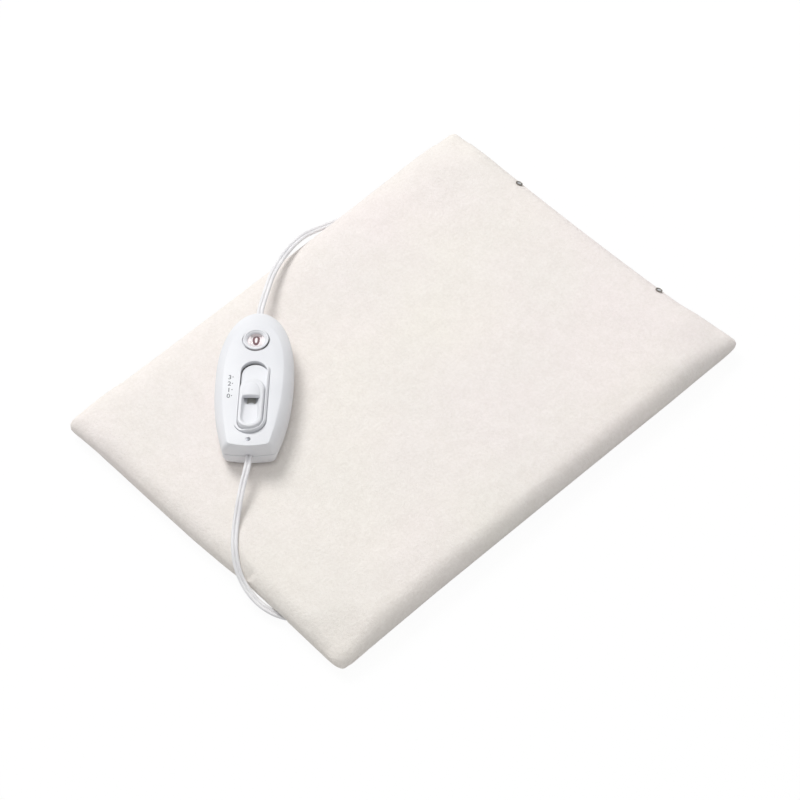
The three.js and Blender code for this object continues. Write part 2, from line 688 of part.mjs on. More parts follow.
function makeFilling() {
  const depth = CLOTH + GAP;
  const floorMarks = underMarks.slice(2).reverse();
  const outerInset = underMarks[2];
  const trayRim = UPPER_WADDING_BASE;
  const trayEdge = CARRIER_INSET - TRAY_LEDGE;
  const side = WADDING_SIDE.map(([inward, up]) => [outerInset + inward, SEAM_HEIGHT + up]);
  const lowerRings = [
    ...floorMarks.map((inset) => gatedRing(insideUnder(inset, depth), depth)),
    ...[
      ...side, [outerInset + WADDING_SHOULDER, trayRim], [trayEdge - GAP, trayRim],
      [trayEdge, TRAY_FLOOR], [HOLLOW_INSET, TRAY_FLOOR],
    ].map(levelRing),
  ];
  const openSide = PAD_LENGTH / 2 - SHORT_SIDE_DRAW - FLAP_REACH - FLAP_DEPTH / 2;
  const opening = solid(box(openSide, PAD_LENGTH, -PAD_WIDTH, PAD_WIDTH, -CUT_OVER, PAD_CROWN));
  const pocket = solid(junctionBox(LOOSE, JUNCTION_BASE - GAP, PAD_CROWN));
  addMesh("lower_wadding", geometryOf(cut(solid(loft(lowerRings)), opening, pocket, tunnel)), WADDING);

  const upperEdge = CARRIER_INSET + TRAY_LEDGE;
  const upperRings = [
    [HOLLOW_INSET, UPPER_WADDING_BASE], [upperEdge, UPPER_WADDING_BASE],
    insideTop(upperEdge, CLOTH + GAP), insideTop(CROWN_INSET, CLOTH + GAP),
  ];
  addMesh("upper_wadding", loft(upperRings.map(levelRing)), WADDING);

  const carrierRings = [CARRIER_BASE, CARRIER_BASE + CARRIER_THICKNESS];
  const carrier = solid(loft(carrierRings.map((height) => levelRing([CARRIER_INSET, height]))));
  const notch = solid(junctionBox(WIRE_SIDE_MARGIN, 0, PAD_CROWN));
  addMesh("wire_carrier", geometryOf(cut(carrier, notch)), WADDING);
  addMesh("junction_block", junctionBox(0, JUNCTION_BASE, junctionTop), INNER_PLASTIC);
}

function makeWire() {
  const halfX = PAD_LENGTH / 2 - CARRIER_INSET - WIRE_RUN_MARGIN;
  const halfY = PAD_WIDTH / 2 - CARRIER_INSET - WIRE_SIDE_MARGIN;
  const pitch = (2 * halfY) / (WIRE_RUNS - 1);
  const column = halfX + WIRE_RUN_MARGIN - WIRE_COLUMN_MARGIN;
  const arcSteps = 5;
  const end = junctionTop + GAP;
  const level = WIRE_LEVEL;
  const fromJunction = ([x, y]) => [junctionX + x, junctionY + y];
  const [start, startTurn, startLevel] = WIRE_START.map(fromJunction);
  const [backLevel, backTurn, back] = WIRE_RETURN.map(fromJunction);
  const [firstX, firstY] = WIRE_FIRST_BEND;
  const [lastX, lastY] = WIRE_LAST_BEND;
  const points = [
    [...start, end], [...start, (end + level) / 2], [...startTurn, level - WIRE_DIP], [...startLevel, level],
    [-halfX - firstX, -halfY - firstY, level],
  ];
  for (let run = 0; run < WIRE_RUNS; run++) {
    const way = run % 2 ? -1 : 1;
    const y = -halfY + run * pitch;
    points.push([-way * halfX, y, level], [way * halfX, y, level]);
    for (let i = 1; i < arcSteps && run < WIRE_RUNS - 1; i++) {
      const angle = (i / arcSteps) * Math.PI - Math.PI / 2;
      const out = (pitch / 2) * Math.cos(angle);
      points.push([way * (halfX + out), y + pitch / 2 + (pitch / 2) * Math.sin(angle), level]);
    }
  }
  points.push(
    [-halfX - lastX, halfY - lastY, level],
    ...WIRE_COLUMN_BEND.map(([x, y]) => [x - column, halfY - y, level]),
    [-column, junctionY + WIRE_COLUMN_END, level],
    [...backLevel, level], [...backTurn, level - WIRE_DIP], [...back, (end + level) / 2], [...back, end],
  );
  const route = points.map((p) => new THREE.Vector3(...p));
  addMesh("heating_wire", tube(route, WIRE_DIAMETER, WIRE_DIAMETER, WIRE_SIDES), WIRE_SHEATH);

  const cutoutBase = CARRIER_BASE + CARRIER_THICKNESS + GAP;
  [-1, 1].forEach((side, i) => {
    const x = (side * CUTOUT_SPACING) / 2;
    const y = pitch * 2 * side;
    const block = box(
      x - CUTOUT_LENGTH / 2, x + CUTOUT_LENGTH / 2, y - CUTOUT_WIDTH / 2, y + CUTOUT_WIDTH / 2,
      cutoutBase, cutoutBase + CUTOUT_HEIGHT,
    );
    addMesh(`overheat_cutout_${i + 1}`, block, BLACK);
  });
}

function makeGrommet() {
  const profile = [
    [GROMMET_BORE, 0], [GROMMET_RADIUS, 0], [GROMMET_INNER_RADIUS, GROMMET_LENGTH],
    [GROMMET_BORE, GROMMET_LENGTH], [GROMMET_BORE, 0],
  ];
  addMesh("pad_lead_grommet", turned(profile, grommetPlace, GROMMET_HEADING), CORD_WHITE);
}

// Case outline in plan: a round front end, long sides that taper, and a nearly flat rear end
const ROUND_STEPS = 7;
const TAPER_STEPS = 5;

function caseOutline(front, rear, half, end) {
  const left = [];
  for (let i = 0; i < ROUND_STEPS; i++) {
    const angle = ((i / ROUND_STEPS) * Math.PI) / 2;
    left.push([front * Math.cos(angle) ** (2 / ROUND_POWER), half * Math.sin(angle)]);
  }
  const taper = rear - END_BOW - END_CORNER;
  for (let i = 0; i < TAPER_STEPS; i++) {
    const share = i / TAPER_STEPS;
    left.push([-share * taper, half - (half - end) * share ** TAPER_POWER]);
  }
  for (let i = 0; i <= 2; i++) {
    const angle = ((i / 2) * Math.PI) / 2;
    left.push([-taper - END_CORNER * Math.sin(angle), end - END_CORNER * (1 - Math.cos(angle))]);
  }
  left.push([END_BOW / 4 - rear, (end - END_CORNER) / 2]);
  const right = left.slice(1).reverse().map(([u, v]) => [u, -v]);
  return [...left, [-rear, 0], ...right];
}

function caseRing(first, second, share, height) {
  return first.map(([u, v], i) => {
    const [toU, toV] = second[i];
    return new THREE.Vector3(u + (toU - u) * share, v + (toV - v) * share, height);
  });
}

function caseBody(inset, far, levels, start, reach) {
  const shrink = (sizes) => caseOutline(...sizes.map((size) => size - inset));
  const first = shrink([CASE_FRONT, CASE_REAR, CASE_HALF, CASE_END]);
  const second = shrink(far);
  return solid(loft(levels.map(([share, rise]) => caseRing(first, second, share, start + rise * reach))));
}

// Levels inside the case
const SLIDER_TRAVEL = (THREE.MathUtils.degToRad(DRUM_TURN) * TEETH * TOOTH_MODULE) / 2;
const SLOT_LENGTH = KNOB_LENGTH + SLIDER_TRAVEL + 2 * LOOSE;
const KNOB_U = SLOT_CENTRE - SLIDER_TRAVEL / 2;
const SLOT_FLOOR = CASE_HEIGHT - SLOT_DEPTH;
const SLAB_BASE = SLOT_FLOOR - SLAB_THICKNESS;
const CARRIAGE_TOP = SLAB_BASE - GAP;
const CARRIAGE_BASE = CARRIAGE_TOP - CARRIAGE_THICKNESS;
const DRUM_LEVEL = CASE_HEIGHT - WALL + DRUM_RISE - DRUM_RADIUS;
const PITCH_RADIUS = (TEETH * TOOTH_MODULE) / 2;
const RACK_LINE = DRUM_LEVEL - PITCH_RADIUS;
const RACK_ROOT = RACK_LINE - TOOTH_DROP;
const RACK_BASE = RACK_ROOT - RACK_BACK;
const BOARD_TOP = RACK_BASE - BOARD_CLEAR;
const BOARD_BASE = BOARD_TOP - BOARD_THICKNESS;
const SEAT = BOARD_TOP + GAP;
const CLAMP_BASE = PARTING + LEAD_THICKNESS / 2 + LOOSE;
const RACK_INNER = RACK_V - RACK_WIDTH / 2;
const RACK_OUTER = RACK_V + RACK_WIDTH / 2;
const LEFT_POST = -(DRUM_WIDTH / 2 + POST_THICKNESS + HUB_RADIUS / 2);
const RIGHT_POST = RACK_OUTER + POST_THICKNESS / 2;

function cordHole(u0, u1) {
  const hole = new THREE.CylinderGeometry(1, 1, u1 - u0, 16).rotateZ(Math.PI / 2);
  hole.scale(1, LEAD_WIDTH / 2 + CORD_HOLE_CLEAR, LEAD_THICKNESS / 2 + CORD_HOLE_CLEAR);
  return solid(hole.translate((u0 + u1) / 2, 0, PARTING));
}

const cordHoles = [
  cordHole(-CASE_REAR - CUT_OVER, -CASE_REAR + 2 * WALL + END_BOW),
  cordHole(CASE_FRONT - 3 * WALL, CASE_FRONT + CUT_OVER),
];

function makeUpperHousing() {
  const top = [TOP_FRONT, TOP_REAR, TOP_HALF, TOP_END];
  const base = PARTING + GAP / 2;
  const outer = caseBody(0, top, FLANK, base, CASE_HEIGHT - base);
  const hollowBase = PARTING - WALL;
  const hollow = caseBody(WALL, top, FLANK, hollowBase, CASE_HEIGHT - WALL - hollowBase);
  const slabLength = SLOT_LENGTH + 2 * SLAB_EDGE;
  const slabWidth = SLOT_WIDTH + 2 * SLAB_EDGE;
  const slab = solid(prism(obround(SLOT_CENTRE, slabLength, slabWidth), SLAB_BASE, CASE_HEIGHT - WALL / 2));
  const springEnd = DETENT_U + SPRING_FIXED;
  const springSide = -CARRIAGE_SIDE - SPRING_STANDOFF - SPRING_THICKNESS - GAP;
  const lug = solid(box(
    springEnd - LUG_LENGTH, springEnd, springSide - WALL, springSide, CARRIAGE_BASE, SLAB_BASE + WALL / 2,
  ));
  const boss = solid(upright(BOSS_RADIUS, REAR_SCREW_U, REAR_SCREW_V, PARTING + GAP, BOSS_TOP));
  const body = join(cut(outer, hollow), slab, lug, boss);
  const stemReach = STEM_LENGTH + SLIDER_TRAVEL + 2 * LOOSE + STEM_WIDTH;
  const stemSlot = obround(SLOT_CENTRE, stemReach, STEM_WIDTH + 2 * LOOSE);
  const shank = SCREW_RADIUS + GAP;
  const screwSeat = CASE_HEIGHT - SCREW_SEAT - GAP;
  const tools = [
    prism(obround(SLOT_CENTRE, SLOT_LENGTH, SLOT_WIDTH), SLOT_FLOOR, CASE_HEIGHT + CUT_OVER, 12),
    prism(stemSlot, SLAB_BASE - CUT_OVER / 2, CASE_HEIGHT, 4),
    upright(BEZEL_RADIUS + GAP, WINDOW_U, 0, CASE_HEIGHT - BEZEL_SEAT, CASE_HEIGHT + CUT_OVER, 32),
    upright(WINDOW_HOLE, WINDOW_U, 0, CASE_HEIGHT - WALL - CUT_OVER / 2, CASE_HEIGHT, 24),
    upright(SCREW_HEAD_RADIUS + GAP, CLAMP_REAR_U, 0, screwSeat, CASE_HEIGHT + CUT_OVER, 16),
    upright(shank, CLAMP_REAR_U, 0, CASE_HEIGHT - WALL - CUT_OVER / 2, CASE_HEIGHT, 12),
    upright(shank, REAR_SCREW_U, REAR_SCREW_V, PARTING - CUT_OVER, BOSS_TOP - WALL / 2, 12),
  ];
  addMesh("upper_housing", geometryOf(cut(body, ...tools.map(solid), ...cordHoles)), CASE_WHITE, controller);
}

function makeLowerHousing() {
  const base = [BASE_FRONT, BASE_REAR, BASE_HALF, BASE_END];
  const top = PARTING - GAP / 2;
  const outer = caseBody(0, base, BELLY, top, -top);
  const hollowTop = PARTING + WALL;
  const hollow = caseBody(WALL, base, BELLY, hollowTop, WALL - hollowTop);
  const floor = WALL / 2;
  const additions = [upright(BOSS_RADIUS, REAR_SCREW_U, REAR_SCREW_V, floor, PARTING - GAP)];
  for (const u of [BOARD_POST_INSET - BOARD_REAR, BOARD_FRONT - BOARD_POST_INSET]) {
    for (const side of [-1, 1]) {
      const v = side * (BOARD_HALF - BOARD_POST_INSET);
      additions.push(upright(BOARD_POST_RADIUS, u, v, floor, BOARD_BASE - GAP, 10));
    }
  }
  for (const u of [CLAMP_REAR_U, CLAMP_FRONT_U]) {
    for (const side of [-1, 1]) {
      const v = side * (CLAMP_HALF - CLAMP_POST / 2);
      const half = CLAMP_POST / 2;
      additions.push(box(u - half, u + half, v - half, v + half, floor, CLAMP_BASE - GAP));
    }
  }
  const postTop = DRUM_LEVEL + AXLE_RADIUS + LOOSE;
  for (const v of [LEFT_POST, RIGHT_POST + LOOSE]) {
    const half = POST_THICKNESS / 2;
    additions.push(box(
      WINDOW_U - POST_WIDTH / 2, WINDOW_U + POST_WIDTH / 2, v - half, v + half, floor, postTop,
    ));
  }
  const body = join(cut(outer, hollow), ...additions.map(solid));
  const saddle = AXLE_RADIUS + GAP;
  const saddleEnd = RACK_OUTER + GAP / 2 + POST_THICKNESS + LOOSE;
  const tools = [
    crosswise(saddle, WINDOW_U, DRUM_LEVEL, -CASE_HALF / 2, CASE_HALF, 16),
    box(WINDOW_U - saddle, WINDOW_U + saddle, -CASE_HALF / 2, saddleEnd, DRUM_LEVEL, CASE_HEIGHT),
    upright(SCREW_RADIUS + GAP, REAR_SCREW_U, REAR_SCREW_V, -CUT_OVER, PARTING, 12),
    upright(SCREW_HEAD_RADIUS + LOOSE, REAR_SCREW_U, REAR_SCREW_V, -CUT_OVER, WALL + GAP, 16),
  ];
  addMesh("lower_housing", geometryOf(cut(body, ...tools.map(solid), ...cordHoles)), CASE_WHITE, controller);
}

function makeKnob() {
  const base = SLOT_FLOOR + GAP;
  const rim = CASE_HEIGHT + KNOB_RISE;
  const ring = (inset, height) => {
    return obroundRing(KNOB_U, KNOB_LENGTH - 2 * inset, KNOB_WIDTH - 2 * inset, height);
  };
  const outer = solid(loft([
    ring(0, base), ring(0, CASE_HEIGHT),
    ring(KNOB_FLANK, rim - KNOB_CORNER), ring(KNOB_FLANK + KNOB_CORNER, rim),
  ]));
  const channelStart = KNOB_U - KNOB_LENGTH / 2 + KNOB_CHANNEL_END;
  const step = KNOB_U + KNOB_STEP;
  const channelLength = step - channelStart + KNOB_CHANNEL_WIDTH;
  const channelShape = obround(channelStart + channelLength / 2, channelLength, KNOB_CHANNEL_WIDTH);
  const behindStep = solid(box(-CASE_REAR, step, -CASE_HALF, CASE_HALF, 0, 2 * CASE_HEIGHT));
  const channel = solid(prism(channelShape, rim - KNOB_CHANNEL_DEPTH, rim + CUT_OVER)).intersect(behindStep);
  const domeLow = rim - KNOB_CORNER - GAP;
  const ball = new THREE.SphereGeometry(1, 20, 10).rotateX(Math.PI / 2);
  ball.scale(KNOB_DOME_LENGTH, KNOB_CHANNEL_WIDTH / 2, KNOB_DOME_RISE + KNOB_CORNER + GAP);
  const ahead = solid(box(step, CASE_FRONT, -CASE_HALF, CASE_HALF, CASE_HEIGHT, 2 * CASE_HEIGHT));
  const dome = solid(ball.translate(step, 0, domeLow)).intersect(ahead);
  const stem = solid(box(
    KNOB_U - STEM_LENGTH / 2, KNOB_U + STEM_LENGTH / 2, -STEM_WIDTH / 2, STEM_WIDTH / 2,
    CARRIAGE_BASE, base + GAP,
  ));
  addMesh("slider_knob", geometryOf(join(cut(outer, channel), dome, stem)), CASE_WHITE, controller);
}

// Toothed outline of the pinion, with a tooth pointing down at the rack
function pinionShape() {
  const points = [];
  for (let i = 0; i < TEETH; i++) {
    const middle = (i / TEETH) * Math.PI * 2 - Math.PI / 2;
    for (const [radius, half] of [
      [PITCH_RADIUS - TOOTH_DROP, TOOTH_THICKNESS / 2 + TOOTH_SLOPE * TOOTH_DROP],
      [PITCH_RADIUS + TOOTH_RISE, TOOTH_THICKNESS / 2 - TOOTH_SLOPE * TOOTH_RISE],
    ]) {
      points.push([radius, middle - half / radius, middle + half / radius]);
    }
  }
  const outline = [];
  for (let i = 0; i < points.length; i += 2) {
    const [root, rootStart, rootEnd] = points[i];
    const [tip, tipStart, tipEnd] = points[i + 1];
    for (const [radius, angle] of [[root, rootStart], [tip, tipStart], [tip, tipEnd], [root, rootEnd]]) {
      outline.push(new THREE.Vector2(radius * Math.cos(angle), radius * Math.sin(angle)));
    }
  }
  return new THREE.Shape(outline);
}

function makeDrum() {
  const half = DRUM_WIDTH / 2;
  const hubStart = LEFT_POST + POST_THICKNESS / 2 + GAP;
  const hubEnd = RIGHT_POST + LOOSE - POST_THICKNESS / 2 - GAP;
  const pinion = prism(pinionShape(), 0, RACK_WIDTH).rotateX(Math.PI / 2);
  pinion.translate(WINDOW_U, RACK_OUTER, DRUM_LEVEL);
  const body = join(
    solid(crosswise(DRUM_RADIUS, WINDOW_U, DRUM_LEVEL, -half, half, 36)),
    solid(crosswise(HUB_RADIUS, WINDOW_U, DRUM_LEVEL, hubStart, hubEnd, 16)),
    solid(pinion),
  );
  const bore = solid(crosswise(AXLE_RADIUS + GAP, WINDOW_U, DRUM_LEVEL, -CASE_HALF, CASE_HALF, 16));
  addMesh("number_drum", geometryOf(cut(body, bore)), CASE_WHITE, controller);
  const axleStart = LEFT_POST - POST_THICKNESS / 2 - LOOSE;
  const axleEnd = RIGHT_POST + POST_THICKNESS / 2 + 2 * LOOSE;
  const axle = crosswise(AXLE_RADIUS, WINDOW_U, DRUM_LEVEL, axleStart, axleEnd, 12);
  addMesh("drum_axle", axle, STEEL, controller);
}

function makeWindow() {
  const up = new THREE.Vector3(0, 0, 1);
  const seat = CASE_HEIGHT - BEZEL_SEAT + GAP;
  const rim = CASE_HEIGHT + BEZEL_RISE;
  const place = new THREE.Vector3(WINDOW_U, 0, 0);
  const bezel = turned([
    [BEZEL_BORE, seat], [BEZEL_RADIUS, seat], [BEZEL_RADIUS, rim - BEZEL_CHAMFER],
    [BEZEL_RADIUS - BEZEL_CHAMFER, rim], [BEZEL_BORE + BEZEL_CHAMFER, rim], [BEZEL_BORE, rim - BEZEL_CHAMFER],
    [BEZEL_BORE, seat],
  ], place, up, 32);
  addMesh("window_bezel", bezel, CASE_WHITE, controller);
  const lens = upright(BEZEL_BORE - GAP, WINDOW_U, 0, seat, seat + LENS_THICKNESS, 32);
  addMesh("window_lens", lens, CLEAR, controller);
}

function makeCarriage() {
  const rear = KNOB_U - CARRIAGE_REAR;
  const front = KNOB_U + CARRIAGE_FRONT;
  const plate = solid(box(rear, front, -CARRIAGE_SIDE, RACK_OUTER, CARRIAGE_BASE, CARRIAGE_TOP));
  const arm = solid(box(front - ARM_LENGTH, front, RACK_INNER, RACK_OUTER, RACK_BASE, CARRIAGE_TOP));
  const pitch = Math.PI * TOOTH_MODULE;
  const bar = solid(box(front - ARM_LENGTH, WINDOW_U + pitch, RACK_INNER, RACK_OUTER, RACK_BASE, RACK_ROOT));
  const rootHalf = TOOTH_THICKNESS / 2 + TOOTH_SLOPE * TOOTH_DROP;
  const tipHalf = TOOTH_THICKNESS / 2 - TOOTH_SLOPE * TOOTH_RISE;
  const teeth = [];
  for (let i = 0; i < RACK_TEETH; i++) {
    const u = WINDOW_U + (1.5 - RACK_TEETH + i) * pitch;
    const foot = RACK_ROOT - RACK_BACK / 2;
    const tip = RACK_LINE + TOOTH_RISE;
    const tooth = outlineShape([
      [u - rootHalf, foot], [u + rootHalf, foot], [u + rootHalf, RACK_ROOT],
      [u + tipHalf, tip], [u - tipHalf, tip], [u - rootHalf, RACK_ROOT],
    ]);
    teeth.push(solid(prism(tooth, 0, RACK_WIDTH).rotateX(Math.PI / 2).translate(0, RACK_OUTER, 0)));
  }
  const socketHalf = STEM_LENGTH / 2 + GAP;
  const socketSide = STEM_WIDTH / 2 + GAP;
  const socketBox = box(KNOB_U - socketHalf, KNOB_U + socketHalf, -socketSide, socketSide, 0, CASE_HEIGHT);
  const socket = solid(socketBox);
  const notches = [];
  for (let i = 0; i <= DETENT_STEPS; i++) {
    const u = DETENT_U - (i * SLIDER_TRAVEL) / DETENT_STEPS;
    const mouth = -CARRIAGE_SIDE - LOOSE;
    const notch = outlineShape([
      [u - DETENT_HALF - LOOSE, mouth], [u, DETENT_DEPTH - CARRIAGE_SIDE], [u + DETENT_HALF + LOOSE, mouth],
    ]);
    notches.push(solid(prism(notch, 0, CASE_HEIGHT)));
  }
  const body = cut(join(plate, arm, bar, ...teeth), socket, ...notches);
  addMesh("slider_carriage", geometryOf(body), INNER_PLASTIC, controller);

  const top = CARRIAGE_BASE - GAP;
  const foot = BOARD_TOP + RAIL_HEIGHT + GAP;
  const half = BRIDGE_LENGTH / 2;
  const strip = solid(box(KNOB_U - half, KNOB_U + half, -BRIDGE_HALF, BRIDGE_HALF, foot, top));
  const innerHalf = BRIDGE_HALF - BRIDGE_STRIP;
  const under = top - BRIDGE_STRIP;
  const space = solid(box(KNOB_U - 2 * half, KNOB_U + 2 * half, -innerHalf, innerHalf, 0, under));
  addMesh("contact_bridge", geometryOf(cut(strip, space)), BRASS, controller);
}

function makeDetentSpring() {
  const near = -CARRIAGE_SIDE - SPRING_STANDOFF;
  const tip = -CARRIAGE_SIDE + DETENT_DEPTH - LOOSE;
  const start = DETENT_U - SPRING_FREE;
  const end = DETENT_U + SPRING_FIXED;
  const half = DETENT_HALF;
  const bend = [[DETENT_U - half, near], [DETENT_U, tip], [DETENT_U + half, near]];
  const line = [[start, near], ...bend, [end, near]];
  const back = line.toReversed().map(([u, v]) => [u, v - SPRING_THICKNESS]);
  const shape = outlineShape([...line, ...back]);
  addMesh("detent_spring", prism(shape, CARRIAGE_BASE + GAP, CARRIAGE_TOP - GAP), STEEL, controller);
}

function makeBoard() {
  const plate = solid(box(-BOARD_REAR, BOARD_FRONT, -BOARD_HALF, BOARD_HALF, BOARD_BASE, BOARD_TOP));
  const railStart = KNOB_U - BRIDGE_LENGTH / 2 - LOOSE;
  const railEnd = KNOB_U + SLIDER_TRAVEL + BRIDGE_LENGTH / 2 + LOOSE;
  const railTop = BOARD_TOP + RAIL_HEIGHT;
  const rail = solid(box(railStart, railEnd, -RAIL_HALF, RAIL_HALF, BOARD_TOP - GAP, railTop));
  addMesh("circuit_board", geometryOf(join(plate, rail)), BOARD, controller);

  const terminal = (name, u0) => {
    const u1 = u0 + TERMINAL_LENGTH;
    const block = solid(box(u0, u1, -TERMINAL_HALF, TERMINAL_HALF, SEAT, SEAT + TERMINAL_HEIGHT));
    const wells = [-1, 1].map((side) => {
      const v = (side * TERMINAL_HALF) / 2;
      return solid(upright(TERMINAL_SCREW, (u0 + u1) / 2, v, SEAT + TERMINAL_HEIGHT / 2, CASE_HEIGHT, 10));
    });
    addMesh(name, geometryOf(cut(block, ...wells)), BLACK, controller);
  };
  terminal("line_terminal", BOARD_FRONT - TERMINAL_INSET - TERMINAL_LENGTH);
  terminal("load_terminal", TERMINAL_INSET - BOARD_REAR);

  const tubePart = (name, radius, length, u, v, look) => {
    addMesh(name, lengthwise(radius, v, SEAT + radius, u - length / 2, u + length / 2), look, controller);
  };
  tubePart("fuse", FUSE_RADIUS, FUSE_LENGTH, FUSE_U, FUSE_V, CLEAR);
  tubePart("power_diode", DIODE_RADIUS, DIODE_LENGTH, DIODE_U, DIODE_V, BLACK);
}

function makeClampsAndScrews() {
  const clampTop = CLAMP_BASE + CLAMP_THICKNESS;
  const bridge = (u) => solid(box(
    u - CLAMP_LENGTH / 2, u + CLAMP_LENGTH / 2, -CLAMP_HALF, CLAMP_HALF, CLAMP_BASE, clampTop,
  ));
  const hole = solid(upright(SCREW_RADIUS + GAP, CLAMP_REAR_U, 0, 0, CASE_HEIGHT, 12));
  addMesh("pad_cord_clamp", geometryOf(cut(bridge(CLAMP_REAR_U), hole)), INNER_PLASTIC, controller);
  addMesh("mains_cord_clamp", geometryOf(bridge(CLAMP_FRONT_U)), INNER_PLASTIC, controller);

  const up = new THREE.Vector3(0, 0, 1);
  const down = new THREE.Vector3(0, 0, -1);
  const screw = (name, place, axis, length) => {
    const body = solid(turned([
      [0, 0], [SCREW_HEAD_RADIUS, 0], [SCREW_HEAD_RADIUS, -SCREW_HEAD], [SCREW_RADIUS, -SCREW_HEAD],
      [SCREW_RADIUS, SCREW_RADIUS / 2 - length], [SCREW_RADIUS / 2, -length], [0, -length],
    ].reverse(), place, axis, 12));
    const slotHalf = SCREW_HEAD / 4;
    const depth = SCREW_HEAD / 2;
    const slot = solid(box(
      place.x - CUT_OVER, place.x + CUT_OVER, place.y - slotHalf, place.y + slotHalf,
      place.z - depth, place.z + depth,
    ));
    addMesh(name, geometryOf(cut(body, slot)), STEEL, controller);
  };
  const frontHead = CASE_HEIGHT - SCREW_SEAT + SCREW_HEAD;
  const frontPlace = new THREE.Vector3(CLAMP_REAR_U, 0, frontHead);
  screw("housing_screw_front", frontPlace, up, frontHead - CLAMP_BASE - GAP);
  const rearHead = WALL - SCREW_HEAD;
  const rearPlace = new THREE.Vector3(REAR_SCREW_U, REAR_SCREW_V, rearHead);
  screw("housing_screw_rear", rearPlace, down, REAR_SCREW_LENGTH);
}

// Coil: the flat lead on edge spirals in, climbs a layer in the half turn where it reverses, and spirals out
function coilPoints() {
  const low = COIL_BASE + LEAD_WIDTH / 2;
  const half = COIL_TURNS / 2;
  const points = [new THREE.Vector3(COIL_X + COIL_RADIUS, COIL_Y + LEAD_WIDTH, low)];
  for (let i = 0; i <= COIL_TURNS * COIL_STEPS; i++) {
    const turn = i / COIL_STEPS;
    const radius = COIL_RADIUS - COIL_PITCH * (half - Math.abs(turn - half));
    const angle = -turn * Math.PI * 2;
    const height = low + COIL_LAYER * smooth((turn - half + 0.25) / 0.5);
    const x = COIL_X + radius * Math.cos(angle);
    const y = COIL_Y + radius * Math.sin(angle);
    points.push(new THREE.Vector3(x, y, height));
  }
  points.push(new THREE.Vector3(COIL_X + COIL_RADIUS, COIL_Y - LEAD_WIDTH, low + COIL_LAYER));
  return points;
}

function leastGap(points) {
  let least = Infinity;
  for (let i = 0; i < points.length; i++) {
    for (let j = i + COIL_STEPS / 2; j < points.length; j++) {
      const across = Math.hypot(points[i].x - points[j].x, points[i].y - points[j].y);
      const above = Math.abs(points[i].z - points[j].z);
      const share = Math.hypot(across / LEAD_THICKNESS, above / LEAD_WIDTH);
      least = Math.min(least, Math.hypot(across, above) * (1 - 1 / share));
    }
  }
  return least;
}

function makeLeads() {
  addMesh("pad_lead", freeLead(PAD_LEAD_ROUTE, 22), CORD_WHITE);
  addMesh("mains_lead", freeLead(MAINS_LEAD_ROUTE, 34), CORD_WHITE);
  addMesh("mains_lead_tail", freeLead(MAINS_TAIL_ROUTE, 9), CORD_WHITE);
  const coil = coilPoints();
  console.log("least gap of the coil to itself", leastGap(coil).toFixed(2), "mm");
  addMesh("mains_lead_coil", tube(coil, LEAD_WIDTH, LEAD_THICKNESS, COIL_SIDES), CORD_WHITE);

  const inner = COIL_RADIUS - (COIL_PITCH * COIL_TURNS) / 2 - LEAD_THICKNESS / 2 - GAP;
  const outer = COIL_RADIUS + LEAD_THICKNESS / 2 + GAP;
  const near = COIL_X - inner;
  const far = COIL_X - outer;
  const top = COIL_TOP + GAP;
  const band = box(
    far - TIE_THICKNESS, near + TIE_THICKNESS, COIL_Y - TIE_WIDTH / 2, COIL_Y + TIE_WIDTH / 2,
    0, top + TIE_THICKNESS,
  );
  const hole = box(far, near, COIL_Y - TIE_WIDTH, COIL_Y + TIE_WIDTH, TIE_THICKNESS, top);
  addMesh("coil_tie", geometryOf(cut(solid(band), solid(hole))), BLACK);
}

function makePlug() {
  const middle = PLUG_THICKNESS / 2;
  const back = PLUG_X;
  const face = PLUG_X - PLUG_LENGTH;
  const half = PLUG_WIDTH / 2 - PLUG_ROUND;
  const backHalf = PLUG_BACK_WIDTH / 2 - PLUG_ROUND;
  const plan = new THREE.Shape();
  plan.moveTo(back - PLUG_ROUND, -backHalf);
  plan.lineTo(back - PLUG_ROUND, backHalf);
  plan.bezierCurveTo(
    back - PLUG_LENGTH / 3, backHalf, face + PLUG_FRONT_LENGTH * 2, half, face + PLUG_FRONT_LENGTH, half,
  );
  plan.lineTo(face + PLUG_ROUND, half);
  plan.lineTo(face + PLUG_ROUND, -half);
  plan.lineTo(face + PLUG_FRONT_LENGTH, -half);
  plan.bezierCurveTo(
    face + PLUG_FRONT_LENGTH * 2, -half, back - PLUG_LENGTH / 3, -backHalf, back - PLUG_ROUND, -backHalf,
  );
  const body = new THREE.ExtrudeGeometry(plan, {
    depth: PLUG_THICKNESS - 2 * PLUG_ROUND,
    bevelThickness: PLUG_ROUND,
    bevelSize: PLUG_ROUND,
    bevelSegments: 2,
    curveSegments: 6,
  });
  const shell = solid(body.translate(0, PLUG_Y, PLUG_ROUND));
  const wells = [];
  [-1, 1].forEach((side, i) => {
    const y = PLUG_Y + (side * PIN_SPACING) / 2;
    wells.push(solid(lengthwise(PIN_RADIUS + GAP, y, middle, face - CUT_OVER, face + PIN_ROOT)));
    const tip = PIN_RADIUS / 2;
    const length = PIN_LENGTH + PIN_ROOT - GAP;
    const pin = turned([
      [0, 0], [PIN_RADIUS, 0], [PIN_RADIUS, length - tip], [PIN_RADIUS - tip, length], [0, length],
    ], new THREE.Vector3(face + PIN_ROOT - GAP, y, middle), new THREE.Vector3(-1, 0, 0), 12);
    addMesh(`plug_pin_${i + 1}`, pin, STEEL);
  });
  addMesh("plug_body", geometryOf(cut(shell, ...wells)), CORD_WHITE);
  const boot = turned([
    [0, 0], [BOOT_BIG_RADIUS, 0], [BOOT_SMALL_RADIUS, BOOT_LENGTH - 2 * GAP], [0, BOOT_LENGTH - 2 * GAP],
  ], new THREE.Vector3(back + GAP, PLUG_Y, middle), new THREE.Vector3(1, 0, 0), 12);
  addMesh("plug_boot", boot, CORD_WHITE);
}

